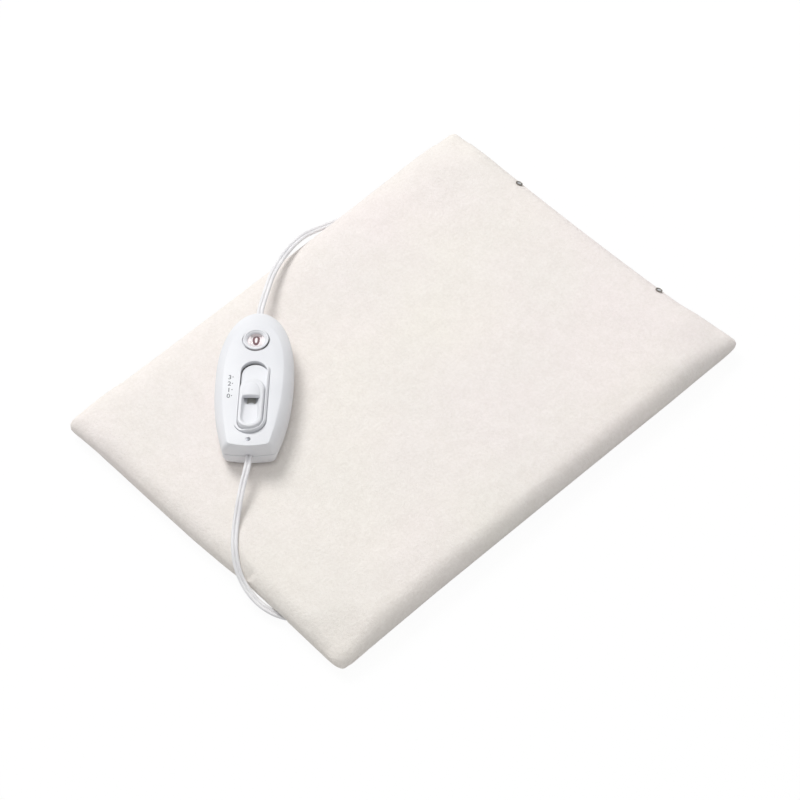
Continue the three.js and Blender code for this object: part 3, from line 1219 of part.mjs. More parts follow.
makeCovers();
makeFlap();
makeSnaps();
makeFilling();
makeWire();
makeGrommet();
makeUpperHousing();
makeLowerHousing();
makeKnob();
makeDrum();
makeWindow();
makeCarriage();
makeDetentSpring();
makeBoard();
makeClampsAndScrews();
makeLeads();
makePlug();

export default part;
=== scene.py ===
"""Looks of the heating pad with its slide controller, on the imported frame."""
import json
import math

import bmesh
import bpy
import numpy as np
from mathutils import Matrix, Vector, noise


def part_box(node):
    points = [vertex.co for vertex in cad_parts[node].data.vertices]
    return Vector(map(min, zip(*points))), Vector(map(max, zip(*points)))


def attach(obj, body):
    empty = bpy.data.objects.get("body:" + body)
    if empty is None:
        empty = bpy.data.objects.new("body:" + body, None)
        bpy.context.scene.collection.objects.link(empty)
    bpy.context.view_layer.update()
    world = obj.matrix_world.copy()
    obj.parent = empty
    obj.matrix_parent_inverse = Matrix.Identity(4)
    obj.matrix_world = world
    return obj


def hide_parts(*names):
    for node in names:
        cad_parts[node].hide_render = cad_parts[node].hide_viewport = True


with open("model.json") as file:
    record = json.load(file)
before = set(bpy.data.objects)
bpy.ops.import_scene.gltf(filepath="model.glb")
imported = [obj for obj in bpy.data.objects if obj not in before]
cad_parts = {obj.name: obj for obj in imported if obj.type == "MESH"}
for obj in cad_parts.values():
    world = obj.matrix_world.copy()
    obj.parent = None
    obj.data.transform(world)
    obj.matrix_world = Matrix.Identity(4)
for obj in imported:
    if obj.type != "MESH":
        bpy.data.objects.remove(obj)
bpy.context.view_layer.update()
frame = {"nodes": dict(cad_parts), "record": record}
scene = bpy.context.scene
scene.view_settings.view_transform = "Standard"

MM = 0.001

# Camera and lights: places and distances in millimetres, angles in degrees, lamp sizes in metres
CAMERA_AZIMUTH, CAMERA_ELEVATION, CAMERA_ROLL = -40.154, 52.658, -4.410
CAMERA_DISTANCE, CAMERA_TARGET = 3687.55, (-3.487, -2.762, 0)
CAMERA_LENS, CAMERA_SENSOR = 225, 36
KEY_PLACE, KEY_POWER, KEY_SIZE = (600, 3250, 4400), 180, 2.6
POOL_PLACE, POOL_POWER, POOL_ANGLE, POOL_SOFT = (30, 20, 3000), 260, 10.5, 0.6
SKY_STRENGTH = 0.54

# Pad, in millimetres: its outline, its rise, its underside with the hollow and the lead's gate, and its cloth
PAD_LENGTH, PAD_WIDTH, PAD_CORNER = 400, 300, 5
SHORT_SIDE_DRAW, LONG_SIDE_DRAW, DRAW_FADE, NEAR_SIDE_OUT, NEAR_SLANT = 3, 1.6, 60, 1.8, 3.8
NEAR_CORNER_OUT, STUD_CORNER_OUT = (3.6, 1.4), 3.0
LEAD_PRESS_Y, LEAD_PRESS_REACH = -46, 12
LEAD_OVER, LEAD_CLEAR, BED_SLOPE, BED_X = 13, 0.2, 1.5, -150
SEAM_HEIGHT, PAD_CROWN, CROWN_INSET, CROWN_POWER, NEAR_POWER = 9, 26, 40, 2.6, 4.0
CORNER_FALL, CORNER_REACH = 0.45, 46
UNDER_ROLL, RIM_WIDTH, HOLLOW_RAMP, HOLLOW_HEIGHT = 22, 18, 40, 14.6
HOLLOW_INSET, EDGE_BAND = 24, 30
GATE_X, GATE_HALF, GATE_FALL, GATE_HEIGHT = 112, 24, 20, 4.4
CLOTH, FORM_SHRINK, FORM_VOXEL, MOST_FILLING, CLOTH_FRAMES = 1.2, 1.6, 4, 2.4, 20
STUD_PLACES, STUD_INSET, STUD_HOLE = (70, -78), 5.5, 1.8
MOUTH_PLACE, MOUTH_WAY, MOUTH_RADIUS = (-195.3, -92.4, 6.5), (0.637, -0.757, 0.142), 5.3

# Controller: its place on the pad, and its case in its own frame (u along, v across, w up)
CONTROLLER_PLACE = Matrix.Translation((-87.6 * MM, 60.8 * MM, 26.3 * MM))
CONTROLLER = CONTROLLER_PLACE @ Matrix.Rotation(math.radians(43.7), 4, "Z")
CASE_HEIGHT, PARTING, WALL, SEAM_GAP = 24.5, 12, 2, 0.3
CASE_PLAN = (64.5, 64.5, 28.7, 20)
TOP_PLAN = (49, 63.8, 22, 15.6)
BASE_PLAN = (58, 61, 24.5, 16.8)
FLANK = [(0, 0), (0.08, 0.36), (0.5, 0.74), (0.9, 0.96), (1, 1)]
BELLY = [(0, 0), (0.06, 0.42), (0.32, 0.78), (0.7, 0.96), (1, 1)]
WINDOW_U, WINDOW_BORE, SEAT_RADIUS, MOAT_RADIUS = 32.4, 7.5, 10.1, 10.05
DRUM_RADIUS, DRUM_WIDTH, DRUM_LEVEL, DRUM_FIGURE, DRUM_START = 9.5, 8.6, 13.5, 9.6, 7.5
INK = 0.04
MARKS, MARK_HEIGHT, MARK_V, DOT_V = (("3", -2.1), ("2", -7.9), ("1", -13.7), ("0", -19.15)), 3.8, 16.9, 14.6
SLOT_CENTRE, SLOT_LENGTH, SLOT_WIDTH, SLOT_SHIFT, SLOT_FLOOR = -19.0, 64.2, 19.4, -0.3, 22.0
LIP_RISE, LIP_RUN, LIP_GROOVE = 2.2, 2.2, 0.25
LIP_CURVE = [(1, 0), (0.9, 0.14), (0.38, 0.9), (0.24, 0.99), (0.1, 1)]
KNOB_U, KNOB_LENGTH, KNOB_WIDTH, STEM_U = -27.5, 46.4, 18.6, -28.73
KNOB_STEP, KNOB_TOE, STEM_LENGTH, STEM_WIDTH = -22.0, 1.9, 10, 5.6
STEM_SLOT_U, STEM_SLOT_LENGTH, STEM_SLOT_WIDTH = STEM_U + 8.5, 33.4, 6.4
SCREW_U, REAR_SCREW, SHANK_HOLE = -58, (45, -14), 1.4

# Flat twin lead, and the points of its routes
LEAD_WIDTH, LEAD_THICKNESS, LEAD_STEP, MAINS_STEP = 5.2, 2.66, 2, 2.5
PAD_LEAD_ROUTE = [
    (-120.9, 29.0, 38.3), (-127.5, 22.6, 38.3), (-134.2, 16.2, 38.3), (-139.4, 11.7, 38.2),
    (-145.2, 7.5, 37.6), (-152.2, 2.9, 36.1), (-159.9, -2.4, 33.6), (-168.4, -8.6, 30.3),
    (-177.3, -15.6, 27.3), (-185.9, -23.5, 25.2), (-193.4, -32.0, 22.2), (-198.2, -39.5, 18.2),
    (-201.0, -46.2, 14.6), (-202.7, -53.2, 11.5), (-203.6, -60.5, 9.2), (-203.7, -67.0, 7.8),
    (-203.0, -73.3, 6.9), (-201.6, -79.3, 6.3), (-199.5, -85.2, 6.1), (-196.3, -91.2, 6.3),
    (-191.6, -96.8, 7.3), (-187.0, -102.3, 8.3), (-182.4, -107.7, 9.4),
]
MAINS_LEAD_ROUTE = [
    (-55.8, 91.2, 38.3), (-48.4, 98.3, 38.3), (-41.0, 105.4, 38.3), (-36.3, 109.5, 38.3),
    (-31.0, 113.3, 38.0), (-25.3, 117.2, 37.4), (-19.5, 121.2, 36.5), (-8.0, 129.0, 34.3),
    (4.3, 135.8, 31.4), (16.5, 141.5, 28.0), (30.5, 146.9, 23.7), (44.2, 150.6, 18.4),
    (57.0, 152.4, 12.2), (69.5, 152.4, 7.0), (83.0, 150.8, 3.4), (97.0, 147.3, 2.1),
    (110.0, 142.0, 1.95), (120.0, 133.5, 1.95), (125.5, 122.0, 1.95), (126.3, 108.0, 2.0),
    (122.5, 92.0, 2.2), (115.5, 76.0, 2.6), (107.5, 60.0, 3.2), (101.0, 45.0, 3.8),
    (98.6, 36.5, 4.1), (98.3, 30.5, 4.1),
]
MAINS_TAIL_ROUTE = [
    (98.3, 19.5, 9.9), (98.0, 12.0, 9.7), (96.8, 2.0, 9.1), (93.2, -9.0, 8.3),
    (87.0, -19.5, 7.5), (78.4, -29.0, 7.05), (70.4, -34.6, 6.9), (62.3, -36.0, 6.85),
]
COIL_CENTRE, COIL_RADIUS, COIL_PITCH, COIL_LAYER, COIL_TURNS, COIL_LOW = (62, 25), 36.3, 3.9, 5.8, 8, 4.1
COIL_STEPS, TIE_WALL = 24, 1.2


def clamp(t):
    return min(1.0, max(0.0, t))


def ramp(value, start, run):
    """0 up to a start, and 1 from a run beyond it."""
    return np.clip((value - start) / run, 0, 1)


def ease(t):
    """A soft step from 0 to 1, for a number or an array."""
    t = np.clip(t, 0, 1)
    return t * t * (3 - 2 * t)


def squared(value, power):
    """A sine or cosine drawn out towards 1, which makes a circle squarer."""
    return math.copysign(abs(value) ** power, value)


# Finishes


def tone(red, green, blue):
    """Linear colour of a shade given as it looks on a screen, 0 to 255."""
    def linear(c):
        c /= 255
        return c / 12.92 if c <= 0.04045 else ((c + 0.055) / 1.055) ** 2.4
    return (linear(red), linear(green), linear(blue), 1)


class Value:
    """A node's output. Sums and products of values add Math nodes."""

    def __init__(self, finish, socket):
        self.finish = finish
        self.socket = socket

    def math(self, operation, first, second):
        return self.finish.node("ShaderNodeMath", {"operation": operation}, {0: first, 1: second})

    def __add__(self, other):
        return self.math("ADD", self, other)

    __radd__ = __add__

    def __sub__(self, other):
        return self.math("SUBTRACT", self, other)

    def __rsub__(self, other):
        return self.math("SUBTRACT", other, self)

    def __mul__(self, other):
        return self.math("MULTIPLY", self, other)

    __rmul__ = __mul__


class Nodes:
    """A node tree, and the one way its nodes are added."""

    def __init__(self, tree):
        self.tree = tree
        self.place = None

    def node(self, kind, settings=None, inputs=None, out=0):
        node = self.tree.nodes.new(kind)
        for key, value in (settings or {}).items():
            if key == "stops":
                ramp = node.color_ramp
                while len(ramp.elements) < len(value):
                    ramp.elements.new(0.5)
                for element, (position, colour) in zip(ramp.elements, value):
                    element.position = position
                    element.color = colour
            else:
                setattr(node, key, value)
        for key, value in (inputs or {}).items():
            self.feed(node.inputs[key], value)
        return Value(self, node.outputs[out])

    def feed(self, socket, value):
        if isinstance(value, Value):
            self.tree.links.new(value.socket, socket)
        else:
            socket.default_value = value

    def seen(self):
        """1 where the camera looks, straight or by way of gloss and glass."""
        kinds = ("Camera", "Glossy", "Transmission")
        rays = [self.node("ShaderNodeLightPath", out=f"Is {kind} Ray") for kind in kinds]
        return self.node("ShaderNodeMath", {"operation": "MINIMUM"}, {0: rays[0] + rays[1] + rays[2], 1: 1.0})

    def noise(self, scale, detail=2.0, roughness=0.5, **mapping):
        """Noise over the piece, which a mapping moves or stretches."""
        vector = self.place
        if mapping:
            vector = self.node("ShaderNodeMapping", None, {"Vector": vector, **mapping})
        inputs = {"Vector": vector, "Scale": scale, "Detail": detail, "Roughness": roughness}
        return self.node("ShaderNodeTexNoise", None, inputs)

    def blend(self, share, first, second):
        mix = {"data_type": "RGBA"}
        return self.node("ShaderNodeMix", mix, {0: share, 6: first, 7: second}, out=2)

    def between(self, value, low, high):
        """The value's middle range, stretched to 0 and 1."""
        inputs = {"Value": value, "From Min": low, "From Max": high}
        return self.node("ShaderNodeMapRange", {"clamp": True}, inputs)

    def bump(self, height, distance, strength):
        return self.node("ShaderNodeBump", None, {"Height": height, "Distance": distance, "Strength": strength})


class Finish(Nodes):
    """A material with its shader."""

    def __init__(self, name, **constants):
        self.material = bpy.data.materials.new(name)
        self.material.use_nodes = True
        super().__init__(self.material.node_tree)
        self.shader = self.tree.nodes["Principled BSDF"]
        self.place = self.node("ShaderNodeTexCoord", out="Object")
        for socket, value in constants.items():
            self.shader.inputs[socket.replace("_", " ")].default_value = value

    def set(self, socket, value):
        self.feed(self.shader.inputs[socket], value)


def fleece_finish():
    """Short nap: soft tufts and curls over wide, faint changes of warmth, with painted shade in the hollows of
    the nap and its clumps.
    """
    sheen = {"Sheen_Weight": 0.1, "Sheen_Roughness": 0.5, "Sheen_Tint": (1, 0.97, 0.94, 1)}
    f = Finish("fleece", Roughness=0.95, Specular_IOR_Level=0.12, **sheen)
    wide = f.between(f.noise(7.0, 3.0, 0.45), 0.36, 0.64)
    warm = f.between(f.noise(11.0, 2.0, 0.5, Location=(3, 5, 1)), 0.38, 0.66)
    base = f.blend(wide, tone(246, 241, 234), tone(246, 238, 236))
    base = f.blend(warm * 0.55, base, tone(241, 237, 232))
    tufts = f.noise(420.0, 4.0, 0.62)
    curls = f.noise(1150.0, 3.0, 0.7)
    nap = f.between(tufts * 0.6 + curls * 0.4, 0.38, 0.62)
    clumps = f.between(f.noise(95.0, 3.0, 0.55), 0.35, 0.65)
    # Painted shade: the colour darkens towards a grey-brown where the nap and clumps are low, the hollows of
    # the bump below
    f.set("Base Color", f.blend((1 - nap) * 0.2 + (1 - clumps) * 0.08, base, tone(206, 197, 187)))
    f.set("Normal", f.bump(nap * 0.7 + clumps * 0.5, 0.0007, 0.55))
    return f.material


def wadding_finish():
    f = Finish("wadding", Roughness=1.0)
    fibres = f.between(f.noise(260.0, 5.0, 0.7), 0.35, 0.65)
    f.set("Base Color", f.blend(fibres, tone(222, 219, 210), tone(244, 242, 236)))
    f.set("Normal", f.bump(fibres, 0.0008, 0.6))
    return f.material


def moulded_finish(name, light, dark, rough):
    """Moulded plastic: fine spark-eroded grain, faint flow marks, and slightly uneven gloss."""
    f = Finish(name, Specular_IOR_Level=0.35)
    flow = f.between(f.noise(28.0, 3.0, 0.5), 0.35, 0.65)
    spark = f.noise(2600.0, 2.0, 0.6)
    f.set("Base Color", f.blend(flow * 0.6 + spark * 0.25, light, dark))
    f.set("Roughness", rough + (flow - 0.5) * 0.05 + (spark - 0.5) * 0.06)
    f.set("Normal", f.bump(spark, 0.00002, 0.5))
    return f.material


def sheath_finish():
    """Soft sheath of the lead, drawn through a die."""
    f = Finish("cord_sheath")
    drawn = f.between(f.noise(60.0, 3.0, 0.5), 0.35, 0.65)
    skin = f.noise(1500.0, 2.0, 0.55)
    f.set("Base Color", f.blend(drawn * 0.7 + skin * 0.2, tone(236, 235, 236), tone(222, 221, 223)))
    f.set("Roughness", 0.42 + drawn * 0.1 + (skin - 0.5) * 0.06)
    f.set("Normal", f.bump(skin, 0.00003, 0.4))
    return f.material


def metal_finish(name, light, dark, rough):
    """Brushed or plated metal with cloudy tarnish."""
    f = Finish(name, Metallic=1.0)
    brushed = f.noise(900.0, 4.0, 0.65)
    cloud = f.between(f.noise(140.0, 2.0, 0.5), 0.3, 0.7)
    f.set("Base Color", f.blend(cloud * 0.6 + brushed * 0.3, light, dark))
    f.set("Roughness", rough + (brushed - 0.5) * 0.18)
    f.set("Normal", f.bump(brushed, 0.00002, 0.4))
    return f.material


def ink_finish(name, dark, light):
    """Printed ink, a little thinner in spots."""
    f = Finish(name)
    thin = f.between(f.noise(1400.0, 3.0, 0.6), 0.45, 0.75)
    f.set("Base Color", f.blend(thin * 0.4, dark, light))
    f.set("Roughness", 0.5 + thin * 0.15)
    return f.material


def lens_finish():
    f = Finish("clear_lens", Alpha=0.05, Base_Color=tone(250, 244, 246))
    haze = f.noise(180.0, 2.0, 0.5)
    f.set("Roughness", 0.03 + haze * 0.04)
    return f.material


def board_finish():
    f = Finish("board_laminate")
    paper = f.noise(700.0, 4.0, 0.6)
    streak = f.noise(40.0, 3.0, 0.5, Scale=(1, 6, 1))
    f.set("Base Color", f.blend(paper * 0.5 + streak * 0.5, tone(196, 152, 92), tone(158, 112, 58)))
    f.set("Roughness", 0.55 + paper * 0.2)
    f.set("Normal", f.bump(paper, 0.00003, 0.5))
    return f.material


FLEECE = fleece_finish()
WADDING = wadding_finish()
CASE_WHITE = moulded_finish("case_white", tone(229, 230, 233), tone(221, 222, 226), 0.46)
DRUM_WHITE = moulded_finish("drum_white", tone(252, 246, 246), tone(248, 238, 240), 0.45)
INNER_PLASTIC = moulded_finish("inner_plastic", tone(218, 218, 212), tone(202, 202, 196), 0.5)
BLACK_PLASTIC = moulded_finish("black_plastic", tone(52, 52, 52), tone(36, 36, 37), 0.45)
WIRE_SHEATH = moulded_finish("wire_sheath", tone(206, 213, 220), tone(188, 197, 206), 0.55)
CORD_SHEATH = sheath_finish()
STUD_METAL = metal_finish("stud_metal", tone(150, 145, 138), tone(92, 88, 84), 0.3)
STEEL = metal_finish("zinc_steel", tone(196, 198, 201), tone(164, 167, 171), 0.32)
SCREW_STEEL = metal_finish("screw_steel", tone(150, 152, 156), tone(112, 114, 118), 0.45)
BRASS = metal_finish("brass_strip", tone(216, 180, 104), tone(188, 146, 72), 0.34)
LENS = lens_finish()
BOARD = board_finish()
FIGURE_RED = ink_finish("figure_red", tone(84, 6, 30), tone(104, 22, 46))
MARK_GREY = ink_finish("mark_grey", tone(74, 76, 80), tone(120, 122, 126))

SLOT_FINISH = {
    "fleece": FLEECE, "wadding": WADDING, "case": CASE_WHITE, "inner_plastic": INNER_PLASTIC,
    "cord": CORD_SHEATH, "stud_metal": STUD_METAL, "steel": STEEL, "brass": BRASS, "window": LENS,
    "board": BOARD, "black_plastic": BLACK_PLASTIC, "wire_sheath": WIRE_SHEATH,
}
for part in frame["record"]["subparts"]:
    node = frame["nodes"][part["node"]]
    node.data.materials.clear()
    node.data.materials.append(SLOT_FINISH[part["material_slot"]])


# Modelling steps


def active(obj):
    bpy.ops.object.select_all(action="DESELECT")
    obj.select_set(True)
    bpy.context.view_layer.objects.active = obj
    return obj


def edit(obj):
    active(obj)
    bpy.ops.object.mode_set(mode="EDIT")
    return bmesh.from_edit_mesh(obj.data)


def outward(obj, merge=0.002):
    """Merges doubles, given in millimetres, and points all faces outwards."""
    edit(obj)
    bpy.ops.mesh.select_all(action="SELECT")
    bpy.ops.mesh.remove_doubles(threshold=merge * MM)
    bpy.ops.mesh.normals_make_consistent(inside=False)
    bpy.ops.object.mode_set(mode="OBJECT")
    return obj


def apply(obj, kind, **settings):
    active(obj)
    modifier = obj.modifiers.new(kind, kind)
    for key, value in settings.items():
        setattr(modifier, key, value)
    bpy.ops.object.modifier_apply(modifier=modifier.name)
    return obj


def combine(obj, operation, *tools):
    """Joins tools to a piece, or cuts them from it, and removes them."""
    for tool in tools:
        apply(obj, "BOOLEAN", object=tool, operation=operation, solver="EXACT")
        bpy.data.objects.remove(tool)
    return outward(obj)


def placed(obj, *matrices):
    """Moves a mesh by matrices, of which the last comes first."""
    matrix = Matrix.Identity(4)
    for step in matrices:
        matrix = matrix @ step
    obj.data.transform(matrix)
    return obj


def shift(x, y=0, z=0):
    """A move in millimetres."""
    return Matrix.Translation((x * MM, y * MM, z * MM))


def finished(obj, name, finish, body, slot, *replaced, angle=35):
    """Names a piece, gives it its finish, hangs it on what it moves with, and hides the parts it stands for."""
    active(obj)
    obj.name = name
    obj.data.name = name
    obj.data.materials.clear()
    obj.data.materials.append(finish)
    bpy.ops.object.shade_smooth_by_angle(angle=math.radians(angle))
    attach(obj, body)
    if replaced:
        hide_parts(*replaced)
    return obj


def outline_of(points):
    """A circle whose points are moved onto a closed outline, in millimetres."""
    bpy.ops.object.select_all(action="DESELECT")
    bpy.ops.mesh.primitive_circle_add(vertices=len(points), radius=MM)
    obj = bpy.context.object
    for vertex, point in zip(obj.data.vertices, points):
        vertex.co = Vector(point) * MM
    return obj


def raised(rings):
    """A closed body: the first outline is filled, and extruded from ring to ring."""
    obj = outline_of(rings[0])
    edit(obj)
    bpy.ops.mesh.select_all(action="SELECT")
    bpy.ops.mesh.edge_face_add()
    loop = list(range(len(rings[0])))
    for ring in rings[1:]:
        bpy.ops.mesh.extrude_region()
        mesh = bmesh.from_edit_mesh(obj.data)
        mesh.verts.index_update()
        mesh.verts.ensure_lookup_table()
        fresh = []
        for index in loop:
            old = mesh.verts[index]
            fresh.append(next(e.other_vert(old) for e in old.link_edges if e.other_vert(old).select))
        for vertex, point in zip(fresh, ring):
            vertex.co = Vector(point) * MM
        loop = [vertex.index for vertex in fresh]
        bmesh.update_edit_mesh(obj.data)
    bpy.ops.object.mode_set(mode="OBJECT")
    return outward(obj)


def prism(outline, low, high):
    """A straight-sided body on an outline, between two heights."""
    return raised([[(u, v, level) for u, v, *_ in outline] for level in (low, high)])


def from_faces(name, points, faces):
    mesh = bpy.data.meshes.new(name)
    mesh.from_pydata(points, [], faces)
    obj = bpy.data.objects.new(name, mesh)
    scene.collection.objects.link(obj)
    return outward(obj)


def spun(profile, steps):
    """A turned body: a closed profile of (radius, height), in millimetres, spun about the Z axis."""
    obj = outline_of([(radius, 0, height) for radius, height in profile])
    edit(obj)
    bpy.ops.mesh.select_all(action="SELECT")
    bpy.ops.mesh.spin(steps=steps, angle=2 * math.pi, center=(0, 0, 0), axis=(0, 0, 1))
    bpy.ops.object.mode_set(mode="OBJECT")
    return outward(obj)


def rod(radius, low, high, steps):
    return spun([(0, low), (radius, low), (radius, high), (0, high)], steps)


def turned_to(place, direction):
    """Moves the Z axis onto a direction at a place in millimetres."""
    turn = Vector(direction).to_track_quat("Z", "Y").to_matrix().to_4x4()
    return Matrix.Translation(Vector(place) * MM) @ turn


def through(points, spacing):
    """Evenly spaced points on the smooth line through these points."""
    knots = np.array(points, float)
    ends = np.vstack([2 * knots[0] - knots[1], knots, 2 * knots[-1] - knots[-2]])
    line = []
    for i in range(len(knots) - 1):
        a, b, c, d = ends[i:i + 4]
        t1 = np.linalg.norm(b - a) ** 0.5
        t2 = t1 + np.linalg.norm(c - b) ** 0.5
        t3 = t2 + np.linalg.norm(d - c) ** 0.5
        for t in np.linspace(t1, t2, 16, endpoint=False):
            a1 = a * (t1 - t) / t1 + b * t / t1
            a2 = b * (t2 - t) / (t2 - t1) + c * (t - t1) / (t2 - t1)
            a3 = c * (t3 - t) / (t3 - t2) + d * (t - t2) / (t3 - t2)
            b1 = a1 * (t2 - t) / t2 + a2 * t / t2
            b2 = a2 * (t3 - t) / (t3 - t1) + a3 * (t - t1) / (t3 - t1)
            line.append(b1 * (t2 - t) / (t2 - t1) + b2 * (t - t1) / (t2 - t1))
    line = np.array(line + [knots[-1]])
    along = np.concatenate([[0], np.cumsum(np.linalg.norm(np.diff(line, axis=0), axis=1))])
    marks = np.linspace(0, along[-1], int(round(along[-1] / spacing)) + 1)
    return np.stack([np.interp(marks, along, line[:, axis]) for axis in range(3)], axis=1)


# Camera, at the photograph's viewing angle


def aim_camera():
    azimuth, elevation, roll = map(math.radians, (CAMERA_AZIMUTH, CAMERA_ELEVATION, CAMERA_ROLL))
    level = math.cos(elevation)
    back = Vector((math.sin(azimuth) * level, -math.cos(azimuth) * level, math.sin(elevation)))
    right = Vector((math.cos(azimuth), math.sin(azimuth), 0))
    up = back.cross(right)
    across = right * math.cos(roll) + up * math.sin(roll)
    above = up * math.cos(roll) - right * math.sin(roll)
    data = bpy.data.cameras.new("camera")
    data.lens = CAMERA_LENS
    data.sensor_width = CAMERA_SENSOR
    data.clip_end = 20
    camera = bpy.data.objects.new("camera", data)
    turn = Matrix((across, above, back)).transposed().to_4x4()
    place = Vector(CAMERA_TARGET) * MM + back * (CAMERA_DISTANCE * MM)
    camera.matrix_world = Matrix.Translation(place) @ turn
    scene.collection.objects.link(camera)
    scene.camera = camera


aim_camera()


# Leads: flat twin flex, two round cores with a groove between them


def flex_section(steps=15):
    """The flex cut across: two round cores that meet in a groove."""
    core = LEAD_THICKNESS / 2
    offset = LEAD_WIDTH / 2 - core
    groove = math.acos(-offset / core) - 0.06
    right = [(offset + core * math.cos(a), core * math.sin(a)) for a in np.linspace(-groove, groove, steps)]
    return right + [(-x, -y) for x, y in right]


def flex(path, on_edge):
    """A tube of the flex along a path. on_edge gives each point's turn, from 0 flat to 1 on edge."""
    section = flex_section()
    count = len(section)
    ahead = np.gradient(path, axis=0)
    points = []
    for place, heading, turn in zip(path, ahead, on_edge):
        heading = Vector(heading).normalized()
        level = Vector((0, 0, 1)).cross(heading).normalized()
        upright = heading.cross(level)
        angle = turn * math.pi / 2
        wide = level * math.cos(angle) + upright * math.sin(angle)
        thin = heading.cross(wide)
        points += [(Vector(place) + wide * x + thin * y) * MM for x, y in section]
    faces = [tuple(reversed(range(count))), tuple(range(len(points) - count, len(points)))]
    for ring in range(len(path) - 1):
        for i in range(count):
            j = (i + 1) % count
            faces.append((ring * count + i, ring * count + j, (ring + 1) * count + j, (ring + 1) * count + i))
    return from_faces("flex", points, faces)


def length_of(path):
    return float(np.linalg.norm(np.diff(path, axis=0), axis=1).sum()) * MM


def coil_points():
    """The wound lead: one layer winds inwards, then climbs, and the next winds outwards."""
    points = []
    half = COIL_TURNS / 2
    for step in range(COIL_TURNS * COIL_STEPS + 1):
        turn = step / COIL_STEPS
        radius = COIL_RADIUS - COIL_PITCH * (half - abs(turn - half))
        angle = -2 * math.pi * turn
        x = COIL_CENTRE[0] + radius * math.cos(angle)
        y = COIL_CENTRE[1] + radius * math.sin(angle)
        points.append((x, y, COIL_LOW + COIL_LAYER * ease((turn - half + 0.25) / 0.5)))
    return points


def make_pad_lead():
    path = through(PAD_LEAD_ROUTE, LEAD_STEP)
    obj = flex(path, np.zeros(len(path)))
    finished(obj, "pad_cord", CORD_SHEATH, "root", "cord", "pad_lead", angle=50)
    return path


def make_mains_lead(*ends):
    """The lead lies flat on the pad, turns on edge for its coil, and lies flat again at the plug."""
    path = through(MAINS_LEAD_ROUTE + coil_points() + MAINS_TAIL_ROUTE, MAINS_STEP)
    along = np.arange(len(path)) * length_of(path) / MM / (len(path) - 1)
    start = length_of(through(MAINS_LEAD_ROUTE, MAINS_STEP)) / MM
    tail = along[-1] - length_of(through(MAINS_TAIL_ROUTE, MAINS_STEP)) / MM
    on_edge = [ease((s - start + 60) / 58) * (1 - ease((s - tail - 2) / 60)) for s in along]
    obj = flex(path, on_edge)
    finished(
        obj, "mains_cord", CORD_SHEATH, "root", "cord",
        "mains_lead", "mains_lead_coil", "mains_lead_tail", angle=50,
    )


# Pad


def short_side_draw(x, y):
    """How far a short side draws in. The near one slants, and draws in where the lead presses it."""
    draw = SHORT_SIDE_DRAW * np.clip(1 - (y / (PAD_WIDTH / 2 - PAD_CORNER)) ** 2, 0, 1)
    press = 0.3 * draw * np.exp(-((y - LEAD_PRESS_Y) / LEAD_PRESS_REACH) ** 2)
    near = press + NEAR_SLANT * ramp(y, 8, 112)
    far = draw - STUD_CORNER_OUT * ramp(-y, 90, 60)
    return np.where(x > 0, far, near - NEAR_CORNER_OUT[0] * ramp(-y, 66, 84))


def long_side_draw(x, y):
    """How far a long side draws in: the near side stands out a little instead."""
    bow = np.clip(1 - (x / (PAD_LENGTH / 2 - PAD_CORNER)) ** 2, 0, 1)
    near = LONG_SIDE_DRAW * 0.3 * bow - NEAR_SIDE_OUT * (1 - 0.6 * ramp(x, 130, 70))
    near -= NEAR_CORNER_OUT[1] * ramp(-x, 110, 90)
    return np.where(y > 0, LONG_SIDE_DRAW * bow, near)


def pad_outline(inset, steps=260):
    """Points of the pad's edge, moved in by an inset: straight sides that draw in between round corners."""
    half_x = PAD_LENGTH / 2 - inset
    half_y = PAD_WIDTH / 2 - inset
    corner = max(PAD_CORNER - inset, 2)
    fade = max(0, 1 - inset / DRAW_FADE)
    points = []
    quarter = math.pi / 2
    for k, (sx, sy) in enumerate([(1, 1), (-1, 1), (-1, -1), (1, -1)]):
        for a in np.linspace(0, quarter, 9):
            angle = k * quarter + a
            x = sx * (half_x - corner) + corner * math.cos(angle)
            points.append((x, sy * (half_y - corner) + corner * math.sin(angle)))
    ring = np.array(points + points[:1])
    along = np.concatenate([[0], np.cumsum(np.linalg.norm(np.diff(ring, axis=0), axis=1))])
    marks = np.linspace(0, along[-1], steps, endpoint=False)
    x = np.interp(marks, along, ring[:, 0])
    y = np.interp(marks, along, ring[:, 1])
    side = np.clip((np.abs(x) - (half_x - corner)) / corner, 0, 1)
    end = np.clip((np.abs(y) - (half_y - corner)) / corner, 0, 1)
    in_x = short_side_draw(x, y) * fade * side
    in_y = long_side_draw(x, y) * fade * end
    return x - np.sign(x) * in_x, y - np.sign(y) * in_y


def crown_power(x, y):
    """How square the pad's shoulder is: squarer along the two near sides."""
    near = np.maximum(ramp(-y, 100, 40), ramp(-x, 140, 40))
    return CROWN_POWER + (NEAR_POWER - CROWN_POWER) * near


def corner_share(x, y):
    """What is left of the pad's rise above its seam, which falls towards the four corners."""
    away = np.hypot(np.abs(x) - PAD_LENGTH / 2, np.abs(y) - PAD_WIDTH / 2)
    far = 1 + 0.4 * ((x > 0) & (y > 0))
    return 1 - CORNER_FALL * far * ease(1 - away / CORNER_REACH)


def top_height(inset, x, y):
    """The pad's upper side: a shoulder that rises from the seam to the crown."""
    rest = np.clip(1 - inset / CROWN_INSET, 0, 1)
    power = crown_power(x, y)
    return SEAM_HEIGHT + (PAD_CROWN - SEAM_HEIGHT) * corner_share(x, y) * (1 - rest ** power) ** (1 / power)


